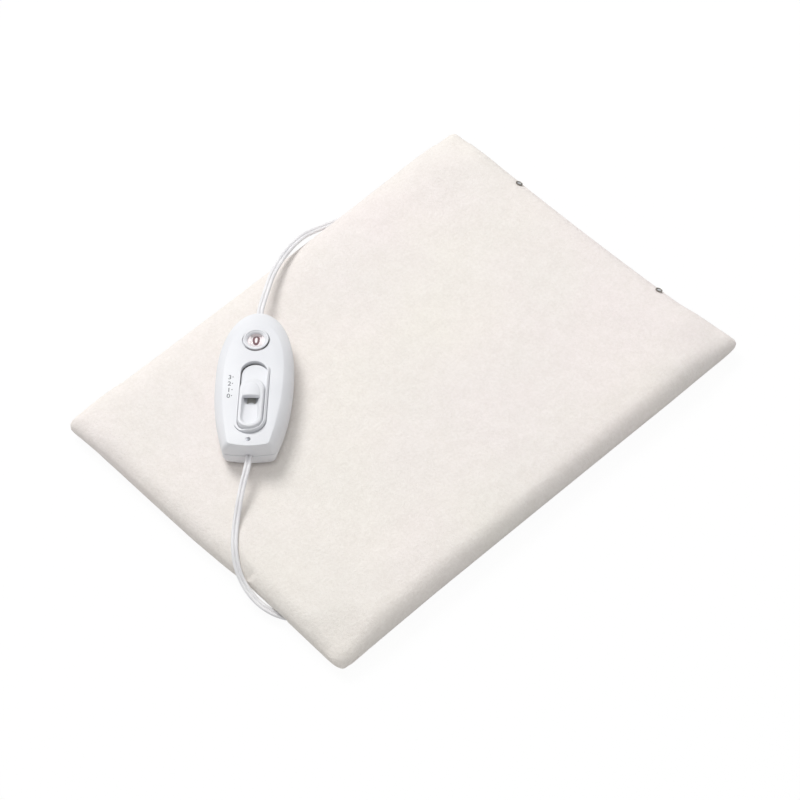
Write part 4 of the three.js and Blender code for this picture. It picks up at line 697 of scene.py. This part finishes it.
def under_height(inset, x, y):
    """The pad's underside: a rolled edge, a rim, a hollow, and a gate where the lead comes in."""
    if inset < UNDER_ROLL:
        height = SEAM_HEIGHT * (1 - math.sqrt(1 - (1 - inset / UNDER_ROLL) ** 2))
    else:
        height = HOLLOW_HEIGHT * ease((inset - UNDER_ROLL - RIM_WIDTH) / HOLLOW_RAMP)
    gate = GATE_HEIGHT * (1 - ease((abs(x - GATE_X) - GATE_HALF) / GATE_FALL)) * ease((y - 70) / 20)
    return max(height, gate if inset > 0.5 else 0)


def inset_of(x, y):
    """How far points lie inside the pad's edge."""
    dx = np.abs(x) - (PAD_LENGTH / 2 - short_side_draw(x, y) - PAD_CORNER)
    dy = np.abs(y) - (PAD_WIDTH / 2 - long_side_draw(x, y) - PAD_CORNER)
    return PAD_CORNER - np.where((dx > 0) & (dy > 0), np.hypot(dx, dy), np.maximum(dx, dy))


def pad_form(shrink):
    """The pad's closed skin, a little smaller than it will be."""
    insets = [0, 0.4, 1.2, 2.4, 4, 6, 8.5, 11.5, 15, 19, 24, 30, 37, 45, 55, 68, 84, 104, 128, 140]
    points = []
    rings = []
    for top in (True, False):
        for inset in insets if top else insets[1:]:
            x, y = pad_outline(inset + shrink)
            ring = []
            for px, py in zip(x, y):
                if top:
                    height = top_height(inset, px, py) - shrink * min(1, inset / 8)
                else:
                    height = under_height(inset, px, py)
                ring.append(len(points))
                points.append((px * MM, py * MM, height * MM))
            rings.append(ring)
    count = len(rings[0])
    faces = []

    def bridge(a, b):
        for i in range(count):
            j = (i + 1) % count
            faces.append((a[i], a[j], b[j], b[i]))

    for a, b in zip(rings[:len(insets) - 1], rings[1:len(insets)]):
        bridge(a, b)
    under = rings[len(insets):]
    bridge(under[0], rings[0])
    for a, b in zip(under[:-1], under[1:]):
        bridge(b, a)
    faces.append(tuple(rings[len(insets) - 1]))
    faces.append(tuple(reversed(under[-1])))
    return from_faces("pad_form", points, faces)


def filled_out(obj):
    """Blows the skin up as cloth, with the underside held, and caps how far a point moves."""
    before, normals = points_of(obj)
    inset = inset_of(before[:, 0], before[:, 1])
    low = np.where(inset < EDGE_BAND, 1 - ease((before[:, 2] - 7) / 5), normals[:, 2] < 0)
    held = obj.vertex_groups.new(name="held")
    for index in np.flatnonzero(low > 0):
        held.add([int(index)], float(low[index]), "REPLACE")
    active(obj)
    modifier = obj.modifiers.new("cloth", "CLOTH")
    cloth = modifier.settings
    settings = {
        "quality": 5, "mass": 0.15, "tension_stiffness": 12, "compression_stiffness": 12, "shear_stiffness": 6,
        "bending_stiffness": 2, "use_pressure": True, "uniform_pressure_force": 4, "vertex_group_mass": "held",
    }
    for key, value in settings.items():
        setattr(cloth, key, value)
    cloth.effector_weights.gravity = 0
    modifier.collision_settings.use_collision = False
    modifier.point_cache.frame_start = 1
    modifier.point_cache.frame_end = CLOTH_FRAMES
    for moment in range(1, CLOTH_FRAMES + 1):
        scene.frame_set(moment)
    bpy.ops.object.modifier_apply(modifier=modifier.name)
    scene.frame_set(1)
    move = points_of(obj)[0] - before
    far = np.linalg.norm(move, axis=1, keepdims=True)
    move_points(obj, before + move * np.minimum(1, MOST_FILLING / np.maximum(far, 1e-6)))


def edge_inset(height, x, y):
    """How far inside its edge the pad has a given height, above or below the seam."""
    power = crown_power(x, y)
    rise = np.clip((height - SEAM_HEIGHT) / (PAD_CROWN - SEAM_HEIGHT) / corner_share(x, y), 0, 1)
    drop = np.clip(1 - height / SEAM_HEIGHT, 0, 1)
    above = CROWN_INSET * (1 - (1 - rise ** power) ** (1 / power))
    return np.where(height >= SEAM_HEIGHT, above, UNDER_ROLL * (1 - np.sqrt(1 - drop ** 2)))


def points_of(obj):
    """All points of a mesh in millimetres, and their normals."""
    points = np.empty(len(obj.data.vertices) * 3, np.float32)
    normals = np.empty_like(points)
    obj.data.vertices.foreach_get("co", points)
    obj.data.vertex_normals.foreach_get("vector", normals)
    return points.reshape(-1, 3) / MM, normals.reshape(-1, 3)


def move_points(obj, points):
    obj.data.vertices.foreach_set("co", (points * MM).astype(np.float32).ravel())
    obj.data.update()


def settle(obj, lead):
    """Rolls the edge out to its line, and adds soft dips, the sewn seam and the press of a lead."""
    points, normals = points_of(obj)
    x, y, z = points.T.copy()
    inset = inset_of(x, y)
    shaped = (z >= 0.6) & ~((inset > HOLLOW_INSET) & (normals[:, 2] < 0))
    side = np.hypot(normals[:, 0], normals[:, 1])
    reach = np.clip(inset - edge_inset(z, x, y), -3, 6) * side ** 2
    reach -= 0.9 * np.clip(1 - np.abs(z - SEAM_HEIGHT) / 2.4, 0, 1) ** 2
    reach *= shaped & (inset < EDGE_BAND) & (side > 0.05)
    x += normals[:, 0] / np.maximum(side, 0.05) * reach
    y += normals[:, 1] / np.maximum(side, 0.05) * reach
    inset = np.maximum(0, inset_of(x, y))
    wide = np.array([noise.noise((a / 74, b / 74, 3.7)) for a, b in zip(x, y)])
    fine = np.array([noise.noise((a / 23, b / 23, 1.3)) for a, b in zip(x, y)])
    wave = wide * 0.8 + fine * 0.35
    level = top_height(inset, x, y) + (wave - 0.6) * 0.8 * ease((inset - 3) / 20)
    upper = shaped & (z > SEAM_HEIGHT + 2)
    z += (level - z) * np.maximum(0, normals[:, 2]) ** 2 * upper
    over = lead[lead[:, 2] > LEAD_OVER]
    for i in np.flatnonzero(upper & (x < BED_X)):
        gap = np.hypot(over[:, 0] - x[i], over[:, 1] - y[i])
        close = gap.argmin()
        beside = max(0, gap[close] - LEAD_WIDTH / 2)
        bed = over[close][2] - LEAD_THICKNESS / 2 - LEAD_CLEAR + BED_SLOPE * beside
        z[i] = min(z[i], max(bed, SEAM_HEIGHT + 1))
    move_points(obj, np.stack([x, y, np.maximum(z, 0)], axis=1))


def half_of(obj, top):
    """The upper or the under cloth of the pad, cut at the seam and given its thickness inwards."""
    half = obj.copy()
    half.data = obj.data.copy()
    scene.collection.objects.link(half)
    mesh = bmesh.new()
    mesh.from_mesh(half.data)
    everything = mesh.verts[:] + mesh.edges[:] + mesh.faces[:]
    bmesh.ops.bisect_plane(mesh, geom=everything, plane_co=(0, 0, SEAM_HEIGHT * MM), plane_no=(0, 0, 1))
    mesh.normal_update()
    gone = []
    for face in mesh.faces:
        middle = face.calc_center_median() / MM
        hollow = inset_of(middle.x, middle.y) > HOLLOW_INSET and face.normal.z < 0
        upper = middle.z > SEAM_HEIGHT and not hollow
        if upper != top:
            gone.append(face)
    bmesh.ops.delete(mesh, geom=gone, context="FACES")
    mesh.to_mesh(half.data)
    mesh.free()
    apply(half, "SOLIDIFY", thickness=CLOTH * MM, offset=-1)
    return half


def stud_place(y):
    """A press stud's place on the pad's edge, turned the way it faces."""
    x = PAD_LENGTH / 2 - float(short_side_draw(1, y)) - STUD_INSET
    rise = (top_height(STUD_INSET + 0.1, x, y) - top_height(STUD_INSET - 0.1, x, y)) / 0.2
    return turned_to((x, y, top_height(STUD_INSET, x, y)), (rise, 0, 1))


def make_pad(lead):
    form = pad_form(FORM_SHRINK)
    active(form)
    form.data.remesh_voxel_size = FORM_VOXEL * MM
    form.data.use_remesh_fix_poles = True
    bpy.ops.object.voxel_remesh()
    filled_out(form)
    apply(form, "SMOOTH", factor=0.5, iterations=2)
    apply(form, "SUBSURF", levels=1, render_levels=1)
    settle(form, lead)
    top = half_of(form, True)
    under = half_of(form, False)
    bpy.data.objects.remove(form)
    for y in STUD_PLACES:
        combine(top, "DIFFERENCE", placed(rod(STUD_HOLE, -6, 6, 24), stud_place(y)))
    combine(under, "DIFFERENCE", placed(rod(MOUTH_RADIUS, -12, 25, 24), turned_to(MOUTH_PLACE, MOUTH_WAY)))
    finished(top, "fleece_top", FLEECE, "root", "fleece", "cover_top", angle=60)
    finished(under, "fleece_under", FLEECE, "root", "fleece", "cover_bottom", angle=60)


def make_wadding(node, name, voxel):
    """Loose filling: the node's form, remeshed, drawn in a little, and lumpy."""
    obj = frame["nodes"][node].copy()
    obj.data = obj.data.copy()
    obj.parent = None
    scene.collection.objects.link(obj)
    outward(obj)
    apply(obj, "REMESH", mode="VOXEL", voxel_size=voxel * MM)
    apply(obj, "SMOOTH", factor=0.5, iterations=3)
    points, normals = points_of(obj)
    lumps = np.array([noise.noise(p / 19) + 0.5 * noise.noise(p / 7) for p in map(Vector, points)])
    inwards = np.where(normals[:, 2] > 0.3, 1.7, 0.5) + 0.3 * lumps
    points -= normals * inwards[:, None]
    above = np.maximum(0, points[:, 2] - SEAM_HEIGHT)
    points[:, 2] -= above * (1 - corner_share(points[:, 0], points[:, 1]))
    move_points(obj, points)
    finished(obj, name, WADDING, "root", "wadding", node, angle=60)


def make_press_studs():
    ring = [(1.85, -0.8), (2.65, -0.8), (2.75, -0.1), (2.65, 0.25), (2.4, 0.4), (2.15, 0.3), (1.95, 0.0)]
    tip = [(0, -0.7), (1.75, -0.7), (1.75, -0.35), (1.5, -0.05), (1.1, 0.1), (0.6, 0.18), (0, 0.2)]
    for number, y in enumerate(STUD_PLACES, 1):
        place = stud_place(y)
        obj = placed(spun(ring, 40), place)
        finished(obj, f"stud_ring_{number}", STUD_METAL, "root", "stud_metal", f"snap_ring_{number}")
        finished(placed(spun(tip, 32), place), f"stud_tip_{number}", STEEL, "root", "steel")


# Controller


def case_plan(front, rear, half, end):
    """One half of the case seen from above, from the round end's tip to the middle of the flat end."""
    points = []
    for a in np.linspace(0, math.pi / 2, 21):
        points.append((front * max(0, math.cos(a)) ** (2 / 2.4), half * math.sin(a)))
    taper = rear - 5.4
    for s in np.linspace(0, 1, 17)[1:]:
        points.append((-s * taper, half - (half - end) * s ** 2.2))
    for a in np.linspace(math.pi / 2, math.pi, 8)[1:]:
        points.append((-taper + 4 * math.cos(a), end - 4 + 4 * math.sin(a)))
    for s in np.linspace(1, 0, 6)[1:]:
        points.append((-rear + 1.4 * s ** 2, (end - 4) * s))
    return points


def case_ring(plan, level):
    half = case_plan(*plan)
    other = [(u, -v) for u, v in reversed(half[1:-1])]
    return [(u, v, level) for u, v in half + other]


def between(first, second, share):
    return tuple(a + (b - a) * share for a, b in zip(first, second))


def case_rings(start, end, curve, low, high, levels=16):
    """Rings from one plan to another, along a curve of (share inwards, share of the height)."""
    line = through([(share, rise, 0) for share, rise in curve], 0.01)
    picks = line[np.linspace(0, len(line) - 1, levels).round().astype(int)]
    return [case_ring(between(start, end, share), low + (high - low) * rise) for share, rise, _ in picks]


def stadium(centre_u, length, width, level, centre_v=0.0, steps=14):
    """A slot's outline with round ends."""
    half = width / 2
    run = length / 2 - half
    points = []
    for a in np.linspace(-math.pi / 2, math.pi / 2, steps):
        points.append((centre_u + run + half * math.cos(a), centre_v + half * math.sin(a), level))
    for a in np.linspace(math.pi / 2, 3 * math.pi / 2, steps):
        points.append((centre_u - run + half * math.cos(a), centre_v + half * math.sin(a), level))
    return points


def smaller(plan, inset):
    return tuple(value - inset for value in plan)


def lead_holes():
    """Flat holes for the leads at the two ends of the case, at the parting."""
    ring = [(3.0 * math.cos(a), 2.05 * math.sin(a)) for a in np.linspace(0, 2 * math.pi, 24, endpoint=False)]
    ends = [sorted((u, u * 0.8)) for u in (-CASE_PLAN[1] - 2, CASE_PLAN[0] + 2)]
    return [raised([[(u, v, PARTING + w) for v, w in ring] for u in end]) for end in ends]


def round_hole(u, v, radius, low, high, steps):
    return placed(rod(radius, low, high, steps), shift(u, v))


def slot_outline(grow, level):
    """The slot's outline, grown outwards."""
    return stadium(SLOT_CENTRE, SLOT_LENGTH + 2 * grow, SLOT_WIDTH + 2 * grow, level, SLOT_SHIFT, 28)


def crescent(body, cover, u, v):
    """Keeps of a body what a taller one on the same outline, moved aside, doesn't cover."""
    return combine(body, "DIFFERENCE", placed(cover, shift(u, v)))


def lip_ring(grow, share):
    """A ring of the lip that rises round the slot's right and lower side."""
    ring = []
    for u, v, _ in slot_outline(grow, 0):
        turn = -0.75 * (v - SLOT_SHIFT) / (SLOT_WIDTH / 2) - 0.66 * (u - SLOT_CENTRE) / (SLOT_LENGTH / 2)
        rise = LIP_RISE * (1 + 0.45 * ease((SLOT_CENTRE - u - 16) / 14))
        ring.append((u, v, CASE_HEIGHT - 0.04 + rise * ease((turn - 0.05) / 0.5) * share))
    return ring


def make_upper_case():
    low = PARTING + SEAM_GAP / 2
    rings = case_rings(CASE_PLAN, TOP_PLAN, FLANK, low + 0.4, CASE_HEIGHT - 0.12)
    rings.insert(0, case_ring(smaller(CASE_PLAN, 0.3), low))
    rings.append(case_ring(smaller(TOP_PLAN, 0.45), CASE_HEIGHT))
    shell = raised(rings)
    inner_plans = smaller(CASE_PLAN, WALL), smaller(TOP_PLAN, WALL)
    combine(shell, "DIFFERENCE", raised(case_rings(*inner_plans, FLANK, low - 2, CASE_HEIGHT - WALL, 10)))
    slab = prism(slot_outline(LIP_RUN - 0.1, 0), SLOT_FLOOR - 1.6, CASE_HEIGHT - 1)
    foot = slot_outline(LIP_RUN, CASE_HEIGHT - 1.2)
    lip = raised([foot] + [lip_ring(LIP_RUN * grow, share) for grow, share in LIP_CURVE])
    combine(shell, "UNION", slab, lip)
    slot = raised([
        slot_outline(0, SLOT_FLOOR), slot_outline(0, CASE_HEIGHT - 0.4),
        slot_outline(0.06, CASE_HEIGHT - 0.2), slot_outline(0.1, CASE_HEIGHT + 4),
    ])
    stem = stadium(STEM_SLOT_U, STEM_SLOT_LENGTH, STEM_SLOT_WIDTH, 0)
    stem = prism(stem, SLOT_FLOOR - 3, SLOT_FLOOR + 1)
    edge = slot_outline(-0.05, 0)
    gap = prism(edge, SLOT_FLOOR - 3, SLOT_FLOOR + 0.2)
    crescent(gap, prism(edge, SLOT_FLOOR - 4, SLOT_FLOOR + 1), -1.7, -0.7)
    edge = slot_outline(LIP_RUN + LIP_GROOVE, 0)
    groove = prism(edge, CASE_HEIGHT - 1.5, CASE_HEIGHT + 6)
    crescent(groove, prism(edge, CASE_HEIGHT - 2, CASE_HEIGHT + 7), 1.5, 0.5)
    moat = round_hole(WINDOW_U, 0, MOAT_RADIUS, 18, 23.8, 48)
    crescent(moat, round_hole(WINDOW_U, 0, MOAT_RADIUS, 17, 24, 48), 1.7, 0.9)
    top = CASE_HEIGHT + 1
    seat = [(0, 23.3), (SEAT_RADIUS, 23.3), (SEAT_RADIUS, 24.4), (SEAT_RADIUS + 0.15, top), (0, top)]
    seat = placed(spun(seat, 64), shift(WINDOW_U))
    window = round_hole(WINDOW_U, 0, WINDOW_BORE, 18, top, 48)
    well = [(0, 23.0), (1.75, 23.0), (1.75, 24.3), (1.85, 24.55), (1.85, top), (0, top)]
    well = placed(spun(well, 32), shift(SCREW_U))
    shank = round_hole(SCREW_U, 0, SHANK_HOLE, 18, top, 20)
    combine(shell, "DIFFERENCE", slot, stem, gap, groove, seat, window, moat, well, shank, *lead_holes())
    finished(placed(shell, CONTROLLER), "case_upper", CASE_WHITE, "root", "case", "upper_housing", angle=28)


def make_lower_case():
    high = PARTING - SEAM_GAP / 2
    rings = case_rings(CASE_PLAN, BASE_PLAN, BELLY, high - 0.4, 0.15)
    rings.insert(0, case_ring(smaller(CASE_PLAN, 0.3), high))
    rings.append(case_ring(smaller(BASE_PLAN, 0.6), 0))
    shell = raised(rings)
    inner_plans = smaller(CASE_PLAN, WALL), smaller(BASE_PLAN, WALL)
    combine(shell, "DIFFERENCE", raised(case_rings(*inner_plans, BELLY, high + 2, WALL, 10)))
    well = round_hole(*REAR_SCREW, 2.4, -1, 1.6, 32)
    shank = round_hole(*REAR_SCREW, SHANK_HOLE, -1, 4, 20)
    combine(shell, "DIFFERENCE", well, shank, *lead_holes())
    finished(placed(shell, CONTROLLER), "case_lower", CASE_WHITE, "root", "case", "lower_housing", angle=28)


def make_knob():
    """The thumb slider: a pill with a raised lower rim, a channel that runs to a step, and a dome above it."""
    rings = []
    for inset, lean, level in [
        (0, 0, 22.3), (0, 0, 25.3), (0.1, 0.02, 25.7), (0.45, 0.15, 26.5),
        (0.75, 0.25, 26.95), (1.05, 0.35, 27.2), (1.5, 0.45, 27.3),
    ]:
        length, width = KNOB_LENGTH - 2 * inset, KNOB_WIDTH - 2 * inset
        ring = stadium(KNOB_U + lean * 0.6, length, width, level, SLOT_SHIFT + lean, 24)
        toe = KNOB_TOE * clamp((level - 25.3) / 1.7)
        rings.append([(u, v, w + toe * ease((KNOB_U - u - 4) / 19)) for u, v, w in ring])
    body = raised(rings)
    low, middle = KNOB_U - KNOB_LENGTH / 2 + 4.2, SLOT_SHIFT + 0.3
    run = KNOB_STEP - low
    rings = []
    for level in [
        22.9, 23.2, 23.5, 23.8, 24.1, 24.4, 24.7, 25.0, 25.3,
        25.6, 26.0, 26.5, 27.0, 27.6, 28.2, 28.8, 29.4, 33,
    ]:
        half = 3.6 + 3.0 * clamp((level - 22.7) / 4.6)
        far = run * (0.92 * clamp((level - 22.7) / 2.9) ** 1.25 + 0.13 * clamp((level - 25.6) / 3.2))
        back = KNOB_STEP + 5.0 * (1 - ease((level - 25.2) / 0.8))
        round_end = min(6.5, far * 0.6)
        ring = [(back, middle - half, level), (back, middle + half, level)]
        for a in np.linspace(math.pi / 2, 3 * math.pi / 2, 29):
            ring.append((KNOB_STEP - far + round_end * (1 + math.cos(a)), middle + half * math.sin(a), level))
        rings.append(ring)
    pocket = [(KNOB_STEP + 4, middle - 5.4), (KNOB_STEP + 4, middle + 5.4)]
    for a in np.linspace(0, math.pi, 21):
        pocket.append((KNOB_STEP - 4.4 * math.sin(a), middle + 5.8 * math.cos(a)))
    combine(body, "DIFFERENCE", raised(rings), prism(pocket, 21.0, 25.0))
    bpy.ops.object.select_all(action="DESELECT")
    bpy.ops.mesh.primitive_uv_sphere_add(segments=72, ring_count=36, radius=1, rotation=(0, math.pi / 2, 0))
    bpy.ops.object.transform_apply(location=False, rotation=True, scale=False)
    dome = bpy.context.object
    for vertex in dome.data.vertices:
        u, v, w = vertex.co
        u *= 13.2 if u > 0 else 1.0
        w *= 3.0 if w > 0 else 0.5
        vertex.co = Vector((KNOB_STEP + 0.9 + u, middle + v * 7.4, 26.4 + w)) * MM
    combine(body, "UNION", outward(dome))
    combine(body, "UNION", prism(stadium(STEM_U, STEM_LENGTH, STEM_WIDTH, 0), 17.6, 22.6))
    finished(placed(body, CONTROLLER), "slide_knob", CASE_WHITE, "slider", "case", "slider_knob", angle=30)


def make_window():
    """The ring and glass of the window, and a mask with an apron that hides what lies beside the drum."""
    ring = [
        (6.4, 23.6), (8.3, 23.6), (8.3, 24.75), (9.3, 25.2), (9.45, 25.45), (9.35, 25.75),
        (9.05, 25.95), (8.65, 26.0), (8.25, 25.92), (8.0, 25.7), (7.9, 25.35), (7.4, 25.3),
        (7.1, 25.2), (6.95, 25.0), (6.9, 24.6), (6.5, 24.55), (6.4, 24.4),
    ]
    ring = placed(spun(ring, 72), CONTROLLER, shift(WINDOW_U))
    finished(ring, "window_ring", CASE_WHITE, "root", "case", "window_bezel")
    glass = [(0, 23.6), (6.1, 23.6), (6.1, 24.4), (5.9, 24.6), (4, 24.74), (2, 24.79), (0, 24.8)]
    glass = placed(spun(glass, 48), CONTROLLER, shift(WINDOW_U))
    finished(glass, "window_glass", LENS, "root", "window", "window_lens")
    mask = round_hole(WINDOW_U, 0, 8.6, 23.32, 23.56, 48)
    gate = [(WINDOW_U + u, v) for u, v in ((-6.4, -4.1), (6.6, -4.1), (6.6, 4.1), (-6.4, 4.1))]
    combine(mask, "DIFFERENCE", prism(gate, 22, 25))
    apron = raised([
        [(WINDOW_U + u, v, level) for u, level in ((5.6, 21.45), (5.85, 21.4), (7.0, 23.4), (6.5, 23.5))]
        for v in (-4.3, 4.3)
    ])
    combine(mask, "UNION", apron)
    finished(placed(mask, CONTROLLER), "window_mask", DRUM_WHITE, "root", "case")


def figure(character, height, weight):
    """A flat figure as a mesh, centred, in its own plane, of a height in millimetres and a weight of stroke."""
    bpy.ops.object.select_all(action="DESELECT")
    bpy.ops.object.text_add()
    obj = bpy.context.object
    obj.data.body = character
    obj.data.align_x = "CENTER"
    obj.data.offset = weight
    obj.data.resolution_u = 8
    bpy.ops.object.convert(target="MESH")
    co = np.array([v.co for v in obj.data.vertices])
    low, high = co.min(0), co.max(0)
    middle = Vector(((low[0] + high[0]) / 2, (low[1] + high[1]) / 2, 0))
    scale = height * MM / (high[1] - low[1])
    return placed(obj, Matrix.Scale(scale, 4) @ Matrix.Translation(-middle))


def make_drum():
    """A white band on the drum, and a figure on each quarter of it."""
    half = DRUM_WIDTH / 2
    edge = DRUM_RADIUS + 0.08
    band = [(edge - 0.06, 0.05 - half), (edge, 0.15 - half), (edge, half - 0.15), (edge - 0.06, half - 0.05)]
    across = Matrix(((0, 1, 0, 0), (0, 0, 1, 0), (1, 0, 0, 0), (0, 0, 0, 1)))
    hub = shift(WINDOW_U, 0, DRUM_LEVEL)
    band = placed(spun(band, 72), CONTROLLER, hub, across)
    finished(band, "drum_band", DRUM_WHITE, "drum", "case", angle=30)
    for number in range(4):
        obj = figure(str(number), DRUM_FIGURE, 0.03)
        edit(obj)
        for line in np.arange(-4.75, 4.8, 0.5):
            bpy.ops.mesh.select_all(action="SELECT")
            bpy.ops.mesh.bisect(plane_co=(0, line * MM, 0), plane_no=(0, 1, 0))
        bpy.ops.object.mode_set(mode="OBJECT")
        radius = edge + 0.02
        middle = math.radians(DRUM_START + 90 * number)
        for vertex in obj.data.vertices:
            angle = middle + vertex.co.y / MM / radius
            across_drum = -vertex.co.x / MM * 0.84
            vertex.co = Vector((radius * math.sin(angle), across_drum, radius * math.cos(angle))) * MM
        apply(obj, "SOLIDIFY", thickness=INK * MM, offset=0)
        placed(outward(obj, 0.0005), CONTROLLER, hub)
        finished(obj, f"drum_figure_{number}", FIGURE_RED, "drum", "case", angle=60)


def make_marks():
    """The figures and dots beside the slot."""
    lay = Matrix(((0, 1, 0, 0), (-1, 0, 0, 0), (0, 0, 1, 0), (0, 0, 0, 1)))
    for character, u in MARKS:
        obj = figure(character, MARK_HEIGHT, 0.006)
        apply(obj, "SOLIDIFY", thickness=INK * MM, offset=0)
        placed(obj, CONTROLLER, shift(u, MARK_V, CASE_HEIGHT + 0.01), lay)
        finished(obj, f"mark_{character}", MARK_GREY, "root", "case")
        dot = spun([(0, 0), (0.42, 0), (0.42, 0.03), (0, INK)], 20)
        placed(dot, CONTROLLER, shift(u + 0.2, DOT_V, CASE_HEIGHT - 0.005))
        finished(dot, f"mark_dot_{character}", MARK_GREY, "root", "case")


def make_front_screw():
    """The screw below the slot, with a cross in its head."""
    head = spun([
        (0, 14), (1.2, 14), (1.2, 23.05), (1.66, 23.05), (1.66, 24.2), (1.55, 24.34), (1.1, 24.46), (0, 24.5),
    ], 28)
    for turn in (0, 90):
        slot = raised([
            [(-0.8, -0.16, 24.0), (0.8, -0.16, 24.0), (0.8, 0.16, 24.0), (-0.8, 0.16, 24.0)],
            [(-0.9, -0.22, 25), (0.9, -0.22, 25), (0.9, 0.22, 25), (-0.9, 0.22, 25)],
        ])
        combine(head, "DIFFERENCE", placed(slot, Matrix.Rotation(math.radians(turn + 20), 4, "Z")))
    placed(head, CONTROLLER, shift(SCREW_U))
    finished(head, "front_screw", SCREW_STEEL, "root", "steel", "housing_screw_front", angle=30)


# Plug and tie, put away under the pad with the wound lead


def box_of(node):
    """The two corners of a node's box, in millimetres."""
    return [Vector(corner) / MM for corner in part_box(node)]


def along_x(node, profile, steps):
    """A turned body in a node's box, whose axis runs along X from the low end."""
    low, high = box_of(node)
    across = Matrix(((0, 0, 1, 0), (0, 1, 0, 0), (-1, 0, 0, 0), (0, 0, 0, 1)))
    return placed(spun(profile, steps), shift(low.x, (low.y + high.y) / 2, (low.z + high.z) / 2), across)


def make_plug():
    low, high = box_of("plug_body")
    middle = (low + high) / 2
    rings = []
    for inset, level in [
        (1.6, 0.0), (0.6, 0.35), (0.0, 1.5), (0.0, high.z - 1.5), (0.6, high.z - 0.35), (1.6, high.z),
    ]:
        ring = []
        for a in np.linspace(0, 2 * math.pi, 48, endpoint=False):
            x = squared(math.cos(a), 0.35) * ((high.x - low.x) / 2 - inset)
            y = squared(math.sin(a), 0.5) * ((high.y - low.y) / 2 - inset)
            waist = 1 - 0.34 * ease((x - 2) / 14)
            ring.append((middle.x + x, middle.y + y * waist, low.z + level))
        rings.append(ring)
    pieces = [finished(raised(rings), "plug_shell", CORD_SHEATH, "root", "cord", "plug_body", angle=40)]
    low, high = box_of("plug_boot")
    length = high.x - low.x
    profile = [(0, 0)]
    for rib in range(5):
        share = rib / 5
        radius = 4.6 - 1.2 * share
        profile.append((radius, length * share + 0.05))
        for depth, along in ((0, 0.13), (0.7, 0.14), (0.7, 0.19)):
            profile.append((radius - depth, length * (share + along)))
    profile += [(3.4, length), (0, length)]
    sleeve = along_x("plug_boot", profile, 32)
    pieces.append(finished(sleeve, "plug_sleeve", CORD_SHEATH, "root", "cord", "plug_boot", angle=40))
    for number in (1, 2):
        node = f"plug_pin_{number}"
        low, high = box_of(node)
        length = high.x - low.x
        pin = along_x(node, [(0, 0), (1.5, 0), (1.9, 0.4), (2, 1.1), (2, length), (0, length)], 24)
        pieces.append(finished(pin, f"plug_prong_{number}", STEEL, "root", "steel", node))
    return pieces


def make_tie():
    low, high = box_of("coil_tie")
    middle, half = (low + high) / 2, (high - low) / 2

    def sleeve(inset, start, end):
        ring = []
        for a in np.linspace(0, 2 * math.pi, 40, endpoint=False):
            x = middle.x + squared(math.cos(a), 0.55) * (half.x - inset)
            ring.append((x, middle.z + squared(math.sin(a), 0.55) * (half.z - inset)))
        return raised([[(x, y, z) for x, z in ring] for y in (start, end)])

    band = combine(sleeve(0, low.y, high.y), "DIFFERENCE", sleeve(TIE_WALL, low.y - 1, high.y + 1))
    apply(band, "BEVEL", width=0.25 * MM, segments=2, limit_method="ANGLE", angle_limit=math.radians(50))
    return finished(outward(band), "tie_band", BLACK_PLASTIC, "root", "black_plastic", "coil_tie", angle=40)


# Light and floor


def lamp(name, kind, matrix, power, **settings):
    data = bpy.data.lights.new(name, kind)
    data.energy = power
    for key, value in settings.items():
        setattr(data, key, value)
    obj = bpy.data.objects.new(name, data)
    obj.matrix_world = matrix
    scene.collection.objects.link(obj)


def light_the_stage():
    """A broad key light from behind, a soft pool from above, and a white sky that is dimmer than it looks."""
    lamp("key", "AREA", turned_to(KEY_PLACE, KEY_PLACE), KEY_POWER, shape="DISK", size=KEY_SIZE)
    spread = {"spot_size": math.radians(POOL_ANGLE), "spot_blend": 1, "shadow_soft_size": POOL_SOFT}
    lamp("pool", "SPOT", shift(*POOL_PLACE), POOL_POWER, **spread)
    world = bpy.data.worlds.new("studio")
    scene.world = world
    world.use_nodes = True
    sky = Nodes(world.node_tree)
    soft = sky.node("ShaderNodeBackground", None, {"Color": (1, 1, 1, 1), "Strength": SKY_STRENGTH})
    white = sky.node("ShaderNodeBackground", None, {"Color": (1, 1, 1, 1), "Strength": 1.0})
    shown = sky.node("ShaderNodeMixShader", None, {0: sky.seen(), 1: soft, 2: white})
    sky.feed(sky.tree.nodes["World Output"].inputs["Surface"], shown)


def make_floor():
    """A floor that shows as white paper with soft shadows."""
    bpy.ops.object.select_all(action="DESELECT")
    bpy.ops.mesh.primitive_plane_add(size=8, location=(0, 0, -0.0002))
    floor = bpy.context.object
    floor.name = "floor"
    f = Finish("studio_floor", Roughness=0.9, Specular_IOR_Level=0)
    seen = f.seen()
    f.set("Base Color", f.blend(seen, (0.7, 0.7, 0.7, 1), (1, 1, 1, 1)))
    white = f.node("ShaderNodeEmission", None, {"Color": (1, 1, 1, 1), "Strength": 1.0})
    lit = Value(f, f.shader.outputs["BSDF"])
    shown = f.node("ShaderNodeMixShader", None, {0: seen * 0.95, 1: lit, 2: white})
    f.feed(f.tree.nodes["Material Output"].inputs["Surface"], shown)
    floor.data.materials.append(f.material)


plug_pieces = make_plug()
tie = make_tie()
lead_path = make_pad_lead()
make_mains_lead(*plug_pieces, tie)
make_pad(lead_path)
make_wadding("upper_wadding", "filling_upper", 2.5)
make_wadding("lower_wadding", "filling_lower", 3)
make_press_studs()
make_upper_case()
make_lower_case()
make_knob()
make_window()
make_drum()
make_marks()
make_front_screw()
light_the_stage()
make_floor()
